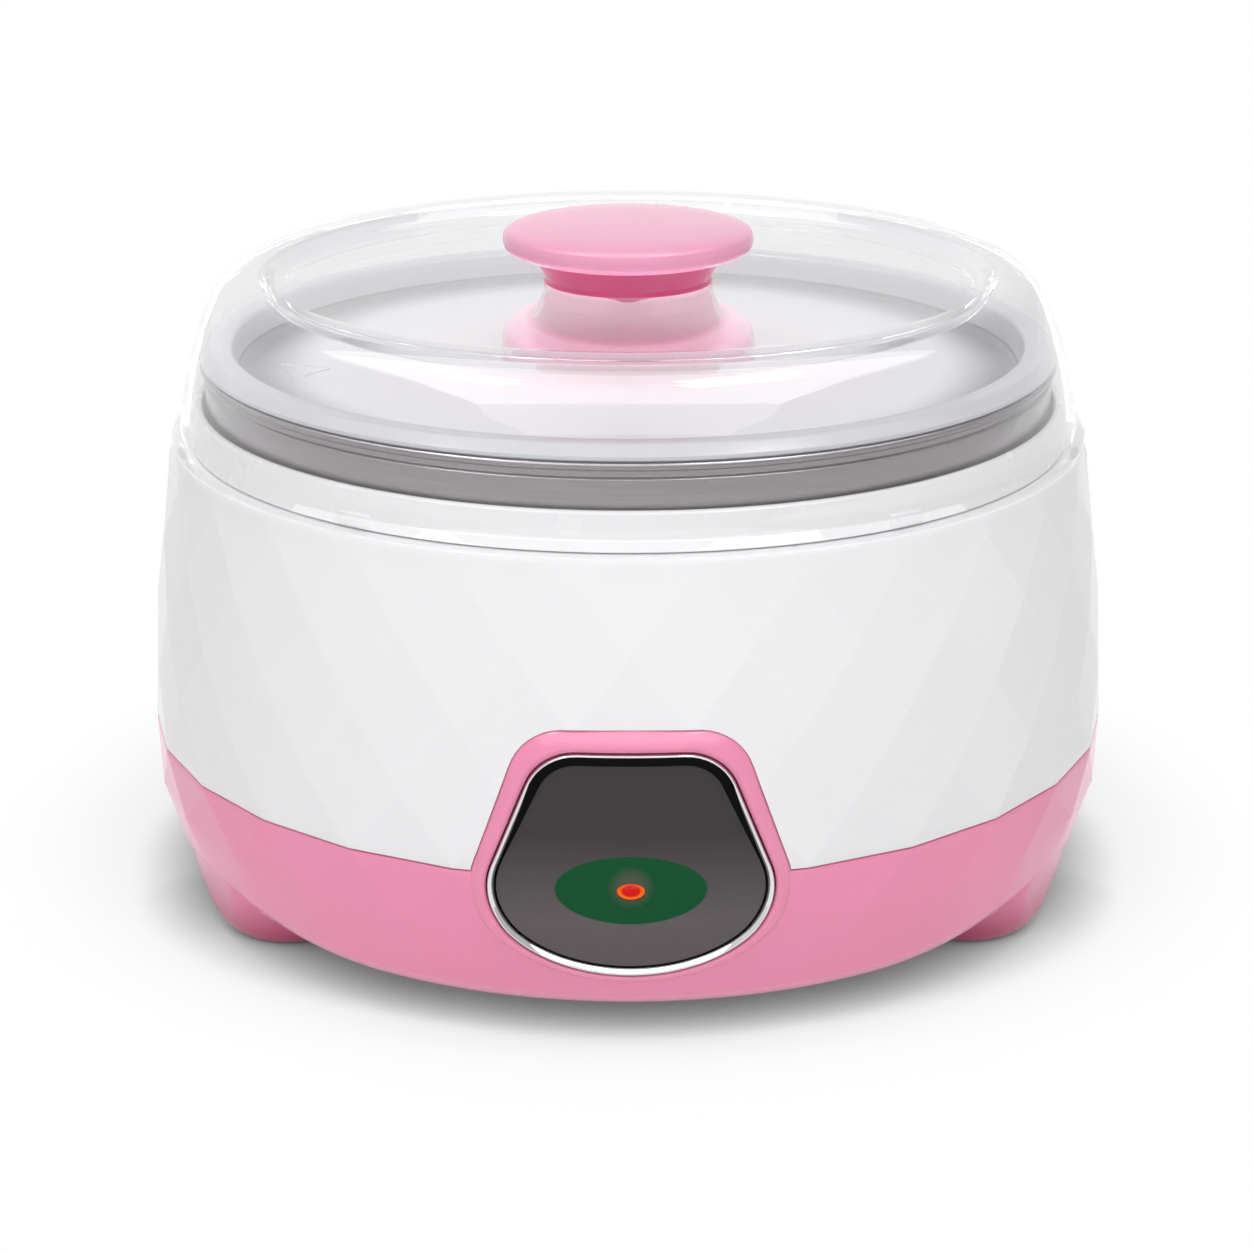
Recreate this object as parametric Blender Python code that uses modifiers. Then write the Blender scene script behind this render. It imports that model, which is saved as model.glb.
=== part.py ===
# Yogurt maker: faceted shell on a footed base, heated well, lift-out steel pot, inner lid and clear lid.
# Metres, +Z up. The origin is on the vertical axis at the floor, and the lamp panel faces -Y.
import bmesh
import bpy
from math import atan, atan2, cos, pi, radians, sin, sqrt, tan
from mathutils import Vector

# Clearances
GAP = 0.0003                 # between pieces that touch
POT_CLEARANCE = 0.0006       # pot wall to well rim

# Mouth of the well, which the pot, the collar, the lids and the shell follow
RIM_RADIUS = 0.0830
COLLAR_TOP_WIDTH = 0.0016
COLLAR_FOOT_WIDTH = 0.0028   # collar where it meets the ledge
TAB_PROUD = 0.0004           # locating tab beyond the foot of the collar
LID_RIM_WIDTH = 0.0062       # from the mouth of the well out to the edge of the clear lid

# Outer form
FLOOR_CLEARANCE = 0.0046     # underside of the base above the table
BASE_HEIGHT = 0.0306         # underside to the seam
SHELL_HEIGHT = 0.0570        # seam to the ledge that the clear lid sits on
BULGE_RADIUS = 0.347         # curve of the shell's side, seen from the front
BULGE_DROP = 0.0052          # widest point of that curve below the seam
SHELL_WALL = 0.0024
FACETS = 28                  # facets round the body
FACET_ROWS = 4               # rows of diamonds up the shell
PLAIN_BAND = 0.0034          # round band above the top row

# Base
BASE_WALL = 0.0024
TUCK_HEIGHT = 0.0068         # underside to the edge where the side turns under
TUCK_WIDTH = 0.0141          # from that edge in to the flat underside
CREASE_INSET = 0.0048        # that edge inside the widest radius
FACET_DROP = 0.0107          # row of facet corners below the seam
FACET_INSET = 0.0006         # that row inside the widest radius
LIP_HEIGHT = 0.0035          # locating lip inside the shell
LIP_WALL = 0.0017

# Feet
FOOT_INSET = 0.0160          # foot centres inside the edge of the base
FOOT_ANGLES = (-63.0, 63.0, 180.0)   # degrees round from the front
FOOT_TOP_RADIUS = 0.0175
FOOT_BOTTOM_RADIUS = 0.0112
FOOT_ROUND = 0.0028
PAD_RADIUS = 0.0078
PAD_THICKNESS = 0.0018
PAD_PROUD = 0.0008

# Lamp panel, outlines seen from the front
PANEL_DROP = 0.0024          # panel centre below the seam
BEZEL_HALF_WIDTH = 0.0250
BEZEL_DROP = 0.0168          # from the panel centre down to the bezel's lowest point
BEZEL_RISE = 0.0257          # and up to its straight top
BEZEL_LEAN = 0.40            # inward lean of the sides
BEZEL_CORNER = 0.0085
BEZEL_WIDTH = 0.0016
FRAME_SIDE = 0.0032          # frame beyond the bezel at the sides
FRAME_CHIN = 0.0022
FRAME_BROW = 0.0046
FRAME_LEAN = 0.33
FRAME_CORNER = 0.0100
FRAME_PROUD = 0.0010
BEZEL_PROUD = 0.0004
WINDOW_SUNK = 0.0004
POCKET_DEPTH = 0.0042
FRAME_BACK = 0.0026          # thickness behind the pocket
LENS_HALF_WIDTH = 0.00245
LENS_HALF_HEIGHT = 0.0017
LENS_SUNK = 0.0005
LENS_HOLE_MARGIN = 0.0009
BOARD_WIDTH = 0.0240
BOARD_HEIGHT = 0.0140
BOARD_THICKNESS = 0.0016
BOARD_PEG_SPACING = 0.0170
BOARD_PEG_RADIUS = 0.0012

# Well
COLLAR_HEIGHT = 0.0072       # ledge to rim
WELL_WALL = 0.0016
WELL_DRAFT = 0.0018          # how much narrower the wall is at its foot
WELL_FLOOR_RISE = 0.0034     # top of the floor above the seam
WELL_FLOOR = 0.0018
WELL_CORNER = 0.0120
WELL_FLOOR_WIDTH = 0.0350    # from the mouth of the well in to the hole in its floor
TAB_ANGLES = (-34.5, 34.5, -145.5, 145.5)
TAB_WIDTH = 0.0068
TAB_HEIGHT = 0.0024

# Inner pot
POT_WALL = 0.0008
POT_STANDOUT = 0.0082        # top of the pot above the rim
POT_CORNER = 0.0130
BEAD_HALF_HEIGHT = 0.0014
BEAD_PROUD = 0.0007

# Inner lid
INNER_LID_WALL = 0.0014
CROWN_RISE = 0.0029          # raised ring above the pot
CROWN_INSET = 0.0014         # that ring inside the pot's outside
CROWN_WIDTH = 0.0040
RECESS_DEPTH = 0.0055
RECESS_DRAFT = 0.0012
SKIRT_DEPTH = 0.0020
SKIRT_CLEARANCE = 0.0004

# Clear lid
LID_WALL = 0.0016
LID_RIM_HEIGHT = 0.0012
LID_FOOT_INSET = 0.0019      # wall just above the rim, inside the rim's edge
LID_FOOT_RISE = 0.0040
LID_TAPER = 0.0050           # how far the wall leans in
LID_BULGE = 0.0006           # outward bow of the wall
LID_HEADROOM = 0.0137        # inner lid to the top of the clear lid
LID_SHOULDER_HEIGHT = 0.0070
LID_SHOULDER_WIDTH = 0.0098
LID_RING_WIDTH = 0.0039      # highest ring in to the sunk centre
LID_SINK = 0.0036

# Knob
KNOB_RADIUS = 0.0240
KNOB_DOME = 0.0040
KNOB_EDGE = 0.0026
NECK_HEIGHT = 0.0056
NECK_TOP_RADIUS = 0.0174
NECK_FOOT_RADIUS = 0.0162
KNOB_SCREW_RADIUS = 0.0015
KNOB_SCREW_DEPTH = 0.0070    # screw inside the knob
KNOB_SCREW_HEAD = 0.0032
KNOB_SCREW_HEAD_HEIGHT = 0.0020
WASHER_RADIUS = 0.0055
WASHER_THICKNESS = 0.0010

# Heater
PLATE_OVERLAP = 0.0060       # heater plate on the well floor
PLATE_THICKNESS = 0.0014
PLATE_BOSS_RADIUS = 0.0040
PLATE_BOSS_SPACING = 0.0680
ELEMENT_LENGTH = 0.0440
ELEMENT_WIDTH = 0.0220
ELEMENT_THICKNESS = 0.0053
STRAP_WIDTH = 0.0120
STRAP_THICKNESS = 0.0012
STRAP_OVERLAP = 0.0060       # length of strap under the well floor
FUSE_RADIUS = 0.0022
FUSE_LENGTH = 0.0130
FUSE_LEAD_LENGTH = 0.0040
FUSE_LEAD_RADIUS = 0.0006
FUSE_OFFSET = 0.0050         # from the heating element
FUSE_BOSS_OFFSET = 0.0095    # from the fuse
CLIP_WIDTH = 0.0080
CLIP_THICKNESS = 0.0010

# Screws
SCREW_RADIUS = 0.0015
SCREW_HEAD_RADIUS = 0.0031
SCREW_HEAD_HEIGHT = 0.0020
BASE_SCREW_OFFSET = 0.0100   # base screws outside the hole in the well floor
BASE_SCREW_ANGLES = (0.0, 120.0, -120.0)
POST_RADIUS = 0.0054
BOSS_LENGTH = 0.0128         # well boss below the well floor
BOSS_RADIUS = 0.0042
COUNTERBORE_DEPTH = 0.0045
BASE_SCREW_GRIP = 0.0100     # screw inside the well boss

# Mains inlet
INLET_INSET = 0.0053         # flat seat at the back, inside the widest radius
INLET_FLANGE_WIDTH = 0.0260
INLET_FLANGE_HEIGHT = 0.0140
INLET_FLANGE = 0.0015
INLET_BODY_WIDTH = 0.0200
INLET_BODY_HEIGHT = 0.0100
INLET_BODY_DEPTH = 0.0130
INLET_SLOT_WIDTH = 0.0146
INLET_SLOT_HEIGHT = 0.0072
INLET_SLOT_DEPTH = 0.0110
PIN_SPACING = 0.0086
PIN_RADIUS = 0.0012
PIN_TAIL = 0.0050
PIN_RECESS = 0.0020          # pin tips behind the mouth of the inlet

# Wiring
BLOCK_WIDTH = 0.0260
BLOCK_DEPTH = 0.0150
BLOCK_HEIGHT = 0.0110
BLOCK_FROM_INLET = 0.0475
MAINS_WIRE_RADIUS = 0.0011
LAMP_WIRE_RADIUS = 0.0008
WIRE_STUB = 0.0040           # straight end of a wire
WIRE_REACH = 0.0080          # bow of a heater wire
LAMP_WIRE_RUN = 0.0160       # from the block until the lamp wires lie on the floor
LAMP_WIRE_CLIMB = 0.0300     # from the board to where they leave the floor

# Mesh fineness
BODY_STEPS = 2 * FACETS
TURN_STEPS = 40
SMALL_STEPS = 20
PANEL_STEPS = 96
ARC_POINTS = 4

# Heights that follow from the sizes above
SEAM_Z = FLOOR_CLEARANCE + BASE_HEIGHT
SHELL_TOP_Z = SEAM_Z + SHELL_HEIGHT
FACET_STEP = (SHELL_HEIGHT - PLAIN_BAND) / FACET_ROWS
BULGE_Z = SEAM_Z - BULGE_DROP
BASE_FLOOR_Z = FLOOR_CLEARANCE + BASE_WALL
CREASE_Z = FLOOR_CLEARANCE + TUCK_HEIGHT
BASE_ROW_Z = SEAM_Z - FACET_DROP
PANEL_CENTRE_Z = SEAM_Z - PANEL_DROP
BEZEL_TOP_Z = PANEL_CENTRE_Z + BEZEL_RISE
FRAME_TOP_Z = BEZEL_TOP_Z + FRAME_BROW
LID_Z = SHELL_TOP_Z + GAP
RIM_Z = SHELL_TOP_Z + COLLAR_HEIGHT
WELL_FLOOR_Z = SEAM_Z + WELL_FLOOR_RISE
WELL_UNDER_Z = WELL_FLOOR_Z - WELL_FLOOR
PLATE_Z = WELL_FLOOR_Z + GAP
PLATE_TOP_Z = PLATE_Z + PLATE_THICKNESS
POT_Z = PLATE_TOP_Z + GAP
POT_TOP_Z = RIM_Z + POT_STANDOUT
CROWN_Z = POT_TOP_Z + CROWN_RISE
LID_TOP_Z = CROWN_Z + LID_HEADROOM
LID_SHOULDER_Z = LID_TOP_Z - LID_SHOULDER_HEIGHT
LID_PLATE_Z = LID_TOP_Z - LID_SINK
KNOB_UNDER_Z = LID_PLATE_Z + NECK_HEIGHT
KNOB_EQUATOR_Z = KNOB_UNDER_Z + KNOB_EDGE
ELEMENT_Z = PLATE_Z - GAP - ELEMENT_THICKNESS
STRAP_Z = ELEMENT_Z - GAP - STRAP_THICKNESS
FUSE_Z = PLATE_Z - GAP - FUSE_RADIUS
CLIP_Z = FUSE_Z - FUSE_RADIUS - GAP - CLIP_THICKNESS
POST_TOP_Z = WELL_UNDER_Z - BOSS_LENGTH - GAP
COUNTERBORE_Z = FLOOR_CLEARANCE + COUNTERBORE_DEPTH
INLET_Z = (CREASE_Z + SEAM_Z) / 2

# Radii and depths that follow
COLLAR_TOP_RADIUS = RIM_RADIUS + COLLAR_TOP_WIDTH
COLLAR_FOOT_RADIUS = RIM_RADIUS + COLLAR_FOOT_WIDTH
WELL_OPENING = RIM_RADIUS - WELL_FLOOR_WIDTH
PLATE_RADIUS = WELL_OPENING + PLATE_OVERLAP
BASE_SCREW_CIRCLE = WELL_OPENING + BASE_SCREW_OFFSET
POT_RADIUS = RIM_RADIUS - POT_CLEARANCE
CROWN_OUTER = POT_RADIUS - CROWN_INSET
CROWN_INNER = CROWN_OUTER - CROWN_WIDTH
LID_RIM_RADIUS = RIM_RADIUS + LID_RIM_WIDTH
LID_FOOT_RADIUS = LID_RIM_RADIUS - LID_FOOT_INSET
LID_SHOULDER_RADIUS = LID_FOOT_RADIUS - LID_TAPER
LID_TOP_RADIUS = LID_SHOULDER_RADIUS - LID_SHOULDER_WIDTH
LID_PLATE_RADIUS = LID_TOP_RADIUS - LID_RING_WIDTH
BODY_RADIUS = LID_RIM_RADIUS + BULGE_RADIUS - sqrt(BULGE_RADIUS ** 2 - (SHELL_TOP_Z - BULGE_Z) ** 2)
BASE_ROW_RADIUS = BODY_RADIUS - FACET_INSET
CREASE_RADIUS = BODY_RADIUS - CREASE_INSET
TUCK_RADIUS = CREASE_RADIUS - TUCK_WIDTH
FOOT_CIRCLE = CREASE_RADIUS - FOOT_INSET
FRAME_HALF_WIDTH = BEZEL_HALF_WIDTH + FRAME_SIDE
FRAME_DROP = BEZEL_DROP + FRAME_CHIN
FRAME_DEPTH = POCKET_DEPTH + FRAME_BACK
INLET_FACE_Y = BODY_RADIUS - INLET_INSET
BLOCK_Y = INLET_FACE_Y - BLOCK_FROM_INLET
FUSE_Y = ELEMENT_WIDTH / 2 + FUSE_OFFSET + FUSE_RADIUS
CLIP_SCREW_Y = FUSE_Y + FUSE_BOSS_OFFSET


def body_radius(z):
    drop = BULGE_RADIUS - sqrt(BULGE_RADIUS ** 2 - (z - BULGE_Z) ** 2)
    return BODY_RADIUS - drop


def outer_radius(z):
    """Side of shell and base, without the facets."""
    if z >= SEAM_Z:
        return body_radius(z)
    if z >= BASE_ROW_Z:
        share = (z - BASE_ROW_Z) / (SEAM_Z - BASE_ROW_Z)
        return BASE_ROW_RADIUS + share * (body_radius(SEAM_Z) - BASE_ROW_RADIUS)
    share = (z - CREASE_Z) / (BASE_ROW_Z - CREASE_Z)
    return CREASE_RADIUS + share * (BASE_ROW_RADIUS - CREASE_RADIUS)


def around(radius, degrees, z=0.0):
    """Point on a circle, with 0 degrees at the front."""
    angle = radians(degrees)
    return Vector((radius * sin(angle), -radius * cos(angle), z))


def clear_scene():
    for item in list(bpy.data.objects):
        bpy.data.objects.remove(item, do_unlink=True)


def new_collection(name):
    group = bpy.data.collections.new(name)
    bpy.context.scene.collection.children.link(group)
    return group


def plain_material(name, colour, roughness, metallic=0.0, alpha=1.0):
    material = bpy.data.materials.new(name)
    material.use_nodes = True
    shader = material.node_tree.nodes["Principled BSDF"]
    shader.inputs["Base Color"].default_value = (*colour, 1.0)
    shader.inputs["Roughness"].default_value = roughness
    shader.inputs["Metallic"].default_value = metallic
    shader.inputs["Alpha"].default_value = alpha
    return material


def add_mesh(name, mesh, material=None):
    """A named piece, or a cutter where no material is given."""
    item = bpy.data.objects.new(name, mesh)
    if material is None:
        CUTTERS.objects.link(item)
        item.hide_render = True
        item.display_type = "WIRE"
    else:
        PARTS.objects.link(item)
        mesh.materials.append(material)
    return item


def finish_bmesh(bm, name):
    mesh = bpy.data.meshes.new(name)
    bm.to_mesh(mesh)
    bm.free()
    mesh.shade_smooth()
    mesh.set_sharp_from_angle(angle=radians(30))
    return mesh


def boolean(target, cutter, operation):
    step = target.modifiers.new(cutter.name, "BOOLEAN")
    step.object = cutter
    step.operation = operation
    step.solver = "EXACT"


def turned(name, profile, steps, material=None, ring=False):
    """Profile of (radius, z) turned about Z. A ring's profile closes on itself."""
    mesh = bpy.data.meshes.new(name)
    count = len(profile)
    edges = [(i, i + 1) for i in range(count - 1)]
    if ring:
        edges.append((count - 1, 0))
    mesh.from_pydata([(r, 0.0, z) for r, z in profile], edges, [])
    item = add_mesh(name, mesh, material)
    screw = item.modifiers.new("Turn", "SCREW")
    screw.steps = steps
    screw.render_steps = steps
    screw.use_merge_vertices = True
    screw.merge_threshold = 0.00001
    return item


def cylinder(name, radius, low, high, material=None, steps=SMALL_STEPS):
    profile = [(0.0, high), (radius, high), (radius, low), (0.0, low)]
    return turned(name, profile, steps, material)


def drilled_boss(name, radius, low, high, drilled_to):
    """Screw boss with a blind hole from below."""
    bore = SCREW_RADIUS + GAP
    profile = [(0.0, high), (radius, high), (radius, low), (bore, low), (bore, drilled_to), (0.0, drilled_to)]
    return turned(name, profile, SMALL_STEPS)


def block(name, size, centre, material=None, bevel=0.0):
    bm = bmesh.new()
    bmesh.ops.create_cube(bm, size=1.0)
    bmesh.ops.scale(bm, vec=size, verts=bm.verts)
    item = add_mesh(name, finish_bmesh(bm, name), material)
    item.location = centre
    if bevel:
        round_edges(item, bevel)
    return item


def round_edges(item, width, segments=1):
    step = item.modifiers.new("Round", "BEVEL")
    step.width = width
    step.segments = segments
    step.limit_method = "ANGLE"


def circle_row(radius, z, count, half_step=False):
    turn = 2 * pi / count
    start = turn / 2 if half_step else 0.0
    return [(radius, start + turn * i, z) for i in range(count)]


def lofted(name, rows, material=None, ring=False):
    """Skin over rows of (radius, angle, z), with triangles zipped between rows of unlike count."""
    bm = bmesh.new()
    loops = []
    for row in rows:
        loops.append([bm.verts.new((r * sin(a), -r * cos(a), z)) for r, a, z in row])
    pairs = list(zip(rows, rows[1:], loops, loops[1:]))
    if ring:
        pairs.append((rows[-1], rows[0], loops[-1], loops[0]))
    for upper, lower, upper_verts, lower_verts in pairs:
        zip_rows(bm, upper, lower, upper_verts, lower_verts)
    if not ring:
        bm.faces.new(loops[0])
        bm.faces.new(loops[-1])
    bmesh.ops.recalc_face_normals(bm, faces=bm.faces)
    return add_mesh(name, finish_bmesh(bm, name), material)


def zip_rows(bm, upper, lower, upper_verts, lower_verts):
    i = 0
    j = 0
    while i < len(upper) or j < len(lower):
        next_upper = upper[i + 1][1] if i + 1 < len(upper) else upper[0][1] + 2 * pi
        next_lower = lower[j + 1][1] if j + 1 < len(lower) else lower[0][1] + 2 * pi
        a = upper_verts[i % len(upper)]
        b = lower_verts[j % len(lower)]
        if j >= len(lower) or (i < len(upper) and next_upper <= next_lower):
            i += 1
            bm.faces.new((a, b, upper_verts[i % len(upper)]))
        else:
            j += 1
            bm.faces.new((a, b, lower_verts[j % len(lower)]))


def arc(centre, radius, start, end, count=ARC_POINTS):
    """Points on an arc, angles in degrees from +X towards +Y of the sketch."""
    points = []
    for i in range(count + 1):
        angle = radians(start + (end - start) * i / count)
        points.append((centre[0] + radius * cos(angle), centre[1] + radius * sin(angle)))
    return points


def rounded_corner(before, corner, after, radius, count=ARC_POINTS):
    """Arc of the given radius that replaces one corner of an outline."""
    corner = Vector(corner)
    to_before = (Vector(before) - corner).normalized()
    to_after = (Vector(after) - corner).normalized()
    half = to_before.angle(to_after) / 2
    middle = corner + (to_before + to_after).normalized() * (radius / sin(half))
    first = corner + to_before * (radius / tan(half)) - middle
    sweep = first.angle_signed(corner + to_after * (radius / tan(half)) - middle)
    points = []
    for i in range(count + 1):
        angle = -sweep * i / count
        spoke = Vector((first.x * cos(angle) - first.y * sin(angle), first.x * sin(angle) + first.y * cos(angle)))
        points.append(tuple(middle + spoke))
    return points


def offset_line(points, distance):
    """Open sketch line moved sideways, to the left of its direction where distance is positive."""
    moved = []
    for i, point in enumerate(points):
        before = Vector(points[max(i - 1, 0)])
        after = Vector(points[min(i + 1, len(points) - 1)])
        here = Vector(point)
        normals = []
        for start, end in ((before, here), (here, after)):
            along = end - start
            if along.length > 0:
                normals.append(Vector((-along.y, along.x)).normalized())
        mean = sum(normals, Vector((0.0, 0.0))).normalized()
        stretch = mean.dot(normals[0])
        moved.append(tuple(here + mean * (distance / stretch)))
    return moved


def mesh_from_curve(curve_item, name, material=None):
    graph = bpy.context.evaluated_depsgraph_get()
    mesh = bpy.data.meshes.new_from_object(curve_item.evaluated_get(graph))
    bm = bmesh.new()
    bm.from_mesh(mesh)
    bmesh.ops.remove_doubles(bm, verts=bm.verts, dist=0.000001)
    bpy.data.meshes.remove(mesh)
    item = add_mesh(name, finish_bmesh(bm, name), material)
    item.matrix_world = curve_item.matrix_world.copy()
    bpy.data.objects.remove(curve_item, do_unlink=True)
    return item


def plate(name, outline, thickness, material=None):
    """Flat outline in XY with its thickness along Z, centred on it."""
    curve = bpy.data.curves.new(name + "_outline", "CURVE")
    curve.dimensions = "2D"
    curve.fill_mode = "BOTH"
    curve.extrude = thickness / 2
    spline = curve.splines.new("POLY")
    spline.points.add(len(outline) - 1)
    for point, (x, y) in zip(spline.points, outline):
        point.co = (x, y, 0.0, 1.0)
    spline.use_cyclic_u = True
    holder = bpy.data.objects.new(name + "_outline", curve)
    CUTTERS.objects.link(holder)
    bpy.context.view_layer.update()
    return mesh_from_curve(holder, name, material)


def front_prism(name, outline, near, far, material=None):
    """Outline in XZ, running from y = -far to y = -near."""
    item = plate(name, outline, far - near, material)
    item.rotation_euler = (pi / 2, 0.0, 0.0)
    item.location = (0.0, -(near + far) / 2, 0.0)
    return item


def wire(name, route, radius, material):
    """Round wire that follows its route with eased corners."""
    curve = bpy.data.curves.new(name, "CURVE")
    curve.dimensions = "3D"
    curve.bevel_depth = radius
    curve.bevel_resolution = 1
    curve.use_fill_caps = True
    points = smooth_route([Vector(p) for p in route])
    spline = curve.splines.new("POLY")
    spline.points.add(len(points) - 1)
    for point, place in zip(spline.points, points):
        point.co = (*place, 1.0)
    item = bpy.data.objects.new(name, curve)
    curve.materials.append(material)
    PARTS.objects.link(item)
    return item


def smooth_route(route, share=4):
    """Route with each corner eased from the middle of one stretch to the middle of the next."""
    points = [route[0]]
    for before, corner, after in zip(route, route[1:], route[2:]):
        start = (before + corner) / 2
        end = (corner + after) / 2
        for k in range(share + 1):
            t = k / share
            points.append(start * (1 - t) ** 2 + corner * 2 * t * (1 - t) + end * t * t)
    points.append(route[-1])
    return [p for i, p in enumerate(points) if i == 0 or (p - points[i - 1]).length > GAP / 10]


def pan_screw(name, head_radius, head_height, shank_radius, length, material):
    """Screw pointing up, with the seat of its head at z = 0."""
    profile = [(0.0, length), (shank_radius, length - shank_radius), (shank_radius, 0.0), (head_radius, 0.0),
               (head_radius, -head_height / 2), (head_radius * 0.7, -head_height), (0.0, -head_height)]
    return turned(name, profile, SMALL_STEPS // 2, material)


def shield(half_width, drop, top, lean, corner, grow=0.0):
    """Panel outline: straight top, rounded shoulders, leaning sides and an elliptic lower half."""
    half_width = half_width + grow
    drop = drop + grow
    top = top + grow
    corner = corner + grow
    start = atan(lean * drop / half_width)
    steps = 4 * ARC_POINTS
    outline = []
    for i in range(steps + 1):
        angle = start - (pi + 2 * start) * i / steps
        outline.append((half_width * cos(angle), PANEL_CENTRE_Z + drop * sin(angle)))
    side = outline[0]
    shoulder = (side[0] - lean * (top - side[1]), top)
    left = rounded_corner((-side[0], side[1]), (-shoulder[0], top), (0.0, top), corner)
    right = [(-x, z) for x, z in reversed(left)]
    return outline + left + right


def bezel_outline(grow=0.0):
    return shield(BEZEL_HALF_WIDTH, BEZEL_DROP, BEZEL_TOP_Z, BEZEL_LEAN, BEZEL_CORNER, grow)


def frame_outline(grow=0.0):
    return shield(FRAME_HALF_WIDTH, FRAME_DROP, FRAME_TOP_Z, FRAME_LEAN, FRAME_CORNER, grow)


def lens_outline(grow=0.0):
    points = []
    for i in range(SMALL_STEPS):
        angle = -2 * pi * i / SMALL_STEPS
        points.append(((LENS_HALF_WIDTH + grow) * cos(angle), PANEL_CENTRE_Z + (LENS_HALF_HEIGHT + grow) * sin(angle)))
    return points


def panel_band(name, inner_depth, outer_rise):
    """Ring that follows the body's side, from inner_depth under it to outer_rise over it."""
    low = PANEL_CENTRE_Z - FRAME_DROP - BASE_WALL
    high = FRAME_TOP_Z + BASE_WALL
    count = 12
    heights = [high + (low - high) * i / count for i in range(count + 1)]
    outside = [(outer_radius(z) + outer_rise, z) for z in heights]
    inside = [(outer_radius(z) - inner_depth, z) for z in reversed(heights)]
    return turned(name, outside + inside, PANEL_STEPS, ring=True)


def panel_piece(name, outline, inner_depth, outer_rise, material=None):
    """Part of the panel with the given front outline, curved like the body's side."""
    item = front_prism(name, outline, BODY_RADIUS - 4 * FRAME_DEPTH, BODY_RADIUS + FRAME_DEPTH, material)
    boolean(item, panel_band(name + "_band", inner_depth, outer_rise), "INTERSECT")
    return item


def make_upper_housing(material):
    rows = []
    for i in range(FACET_ROWS + 1):
        z = SEAM_Z + FACET_STEP * i + (GAP if i == 0 else 0.0)
        rows.append(circle_row(body_radius(z), z, FACETS, half_step=i % 2 == 0))
    ledge_hole = RIM_RADIUS + WELL_WALL + GAP
    under_ledge_z = SHELL_TOP_Z - SHELL_WALL
    rows.append(circle_row(body_radius(SHELL_TOP_Z), SHELL_TOP_Z, BODY_STEPS))
    rows.append(circle_row(ledge_hole, SHELL_TOP_Z, BODY_STEPS))
    rows.append(circle_row(ledge_hole, under_ledge_z, BODY_STEPS))
    for i in range(FACET_ROWS, -1, -1):
        z = SEAM_Z + GAP + (under_ledge_z - SEAM_Z - GAP) * i / FACET_ROWS
        rows.append(circle_row(body_radius(z) - SHELL_WALL, z, BODY_STEPS))
    housing = lofted("upper_housing", rows, material, ring=True)
    notch = front_prism("panel_notch", frame_outline(GAP), BODY_RADIUS / 2, BODY_RADIUS + FRAME_DEPTH)
    boolean(housing, notch, "DIFFERENCE")
    return housing


def tuck_curve(inset):
    """Side of the base turning under: from the crease to the flat underside, inset by the wall."""
    reach = CREASE_RADIUS - TUCK_RADIUS
    rise = CREASE_Z - FLOOR_CLEARANCE
    points = []
    for i in range(ARC_POINTS + 1):
        angle = pi / 2 * i / ARC_POINTS
        radius = TUCK_RADIUS + reach * cos(angle) - inset * cos(angle)
        points.append((radius, CREASE_Z - rise * sin(angle) + inset * sin(angle)))
    return points


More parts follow.
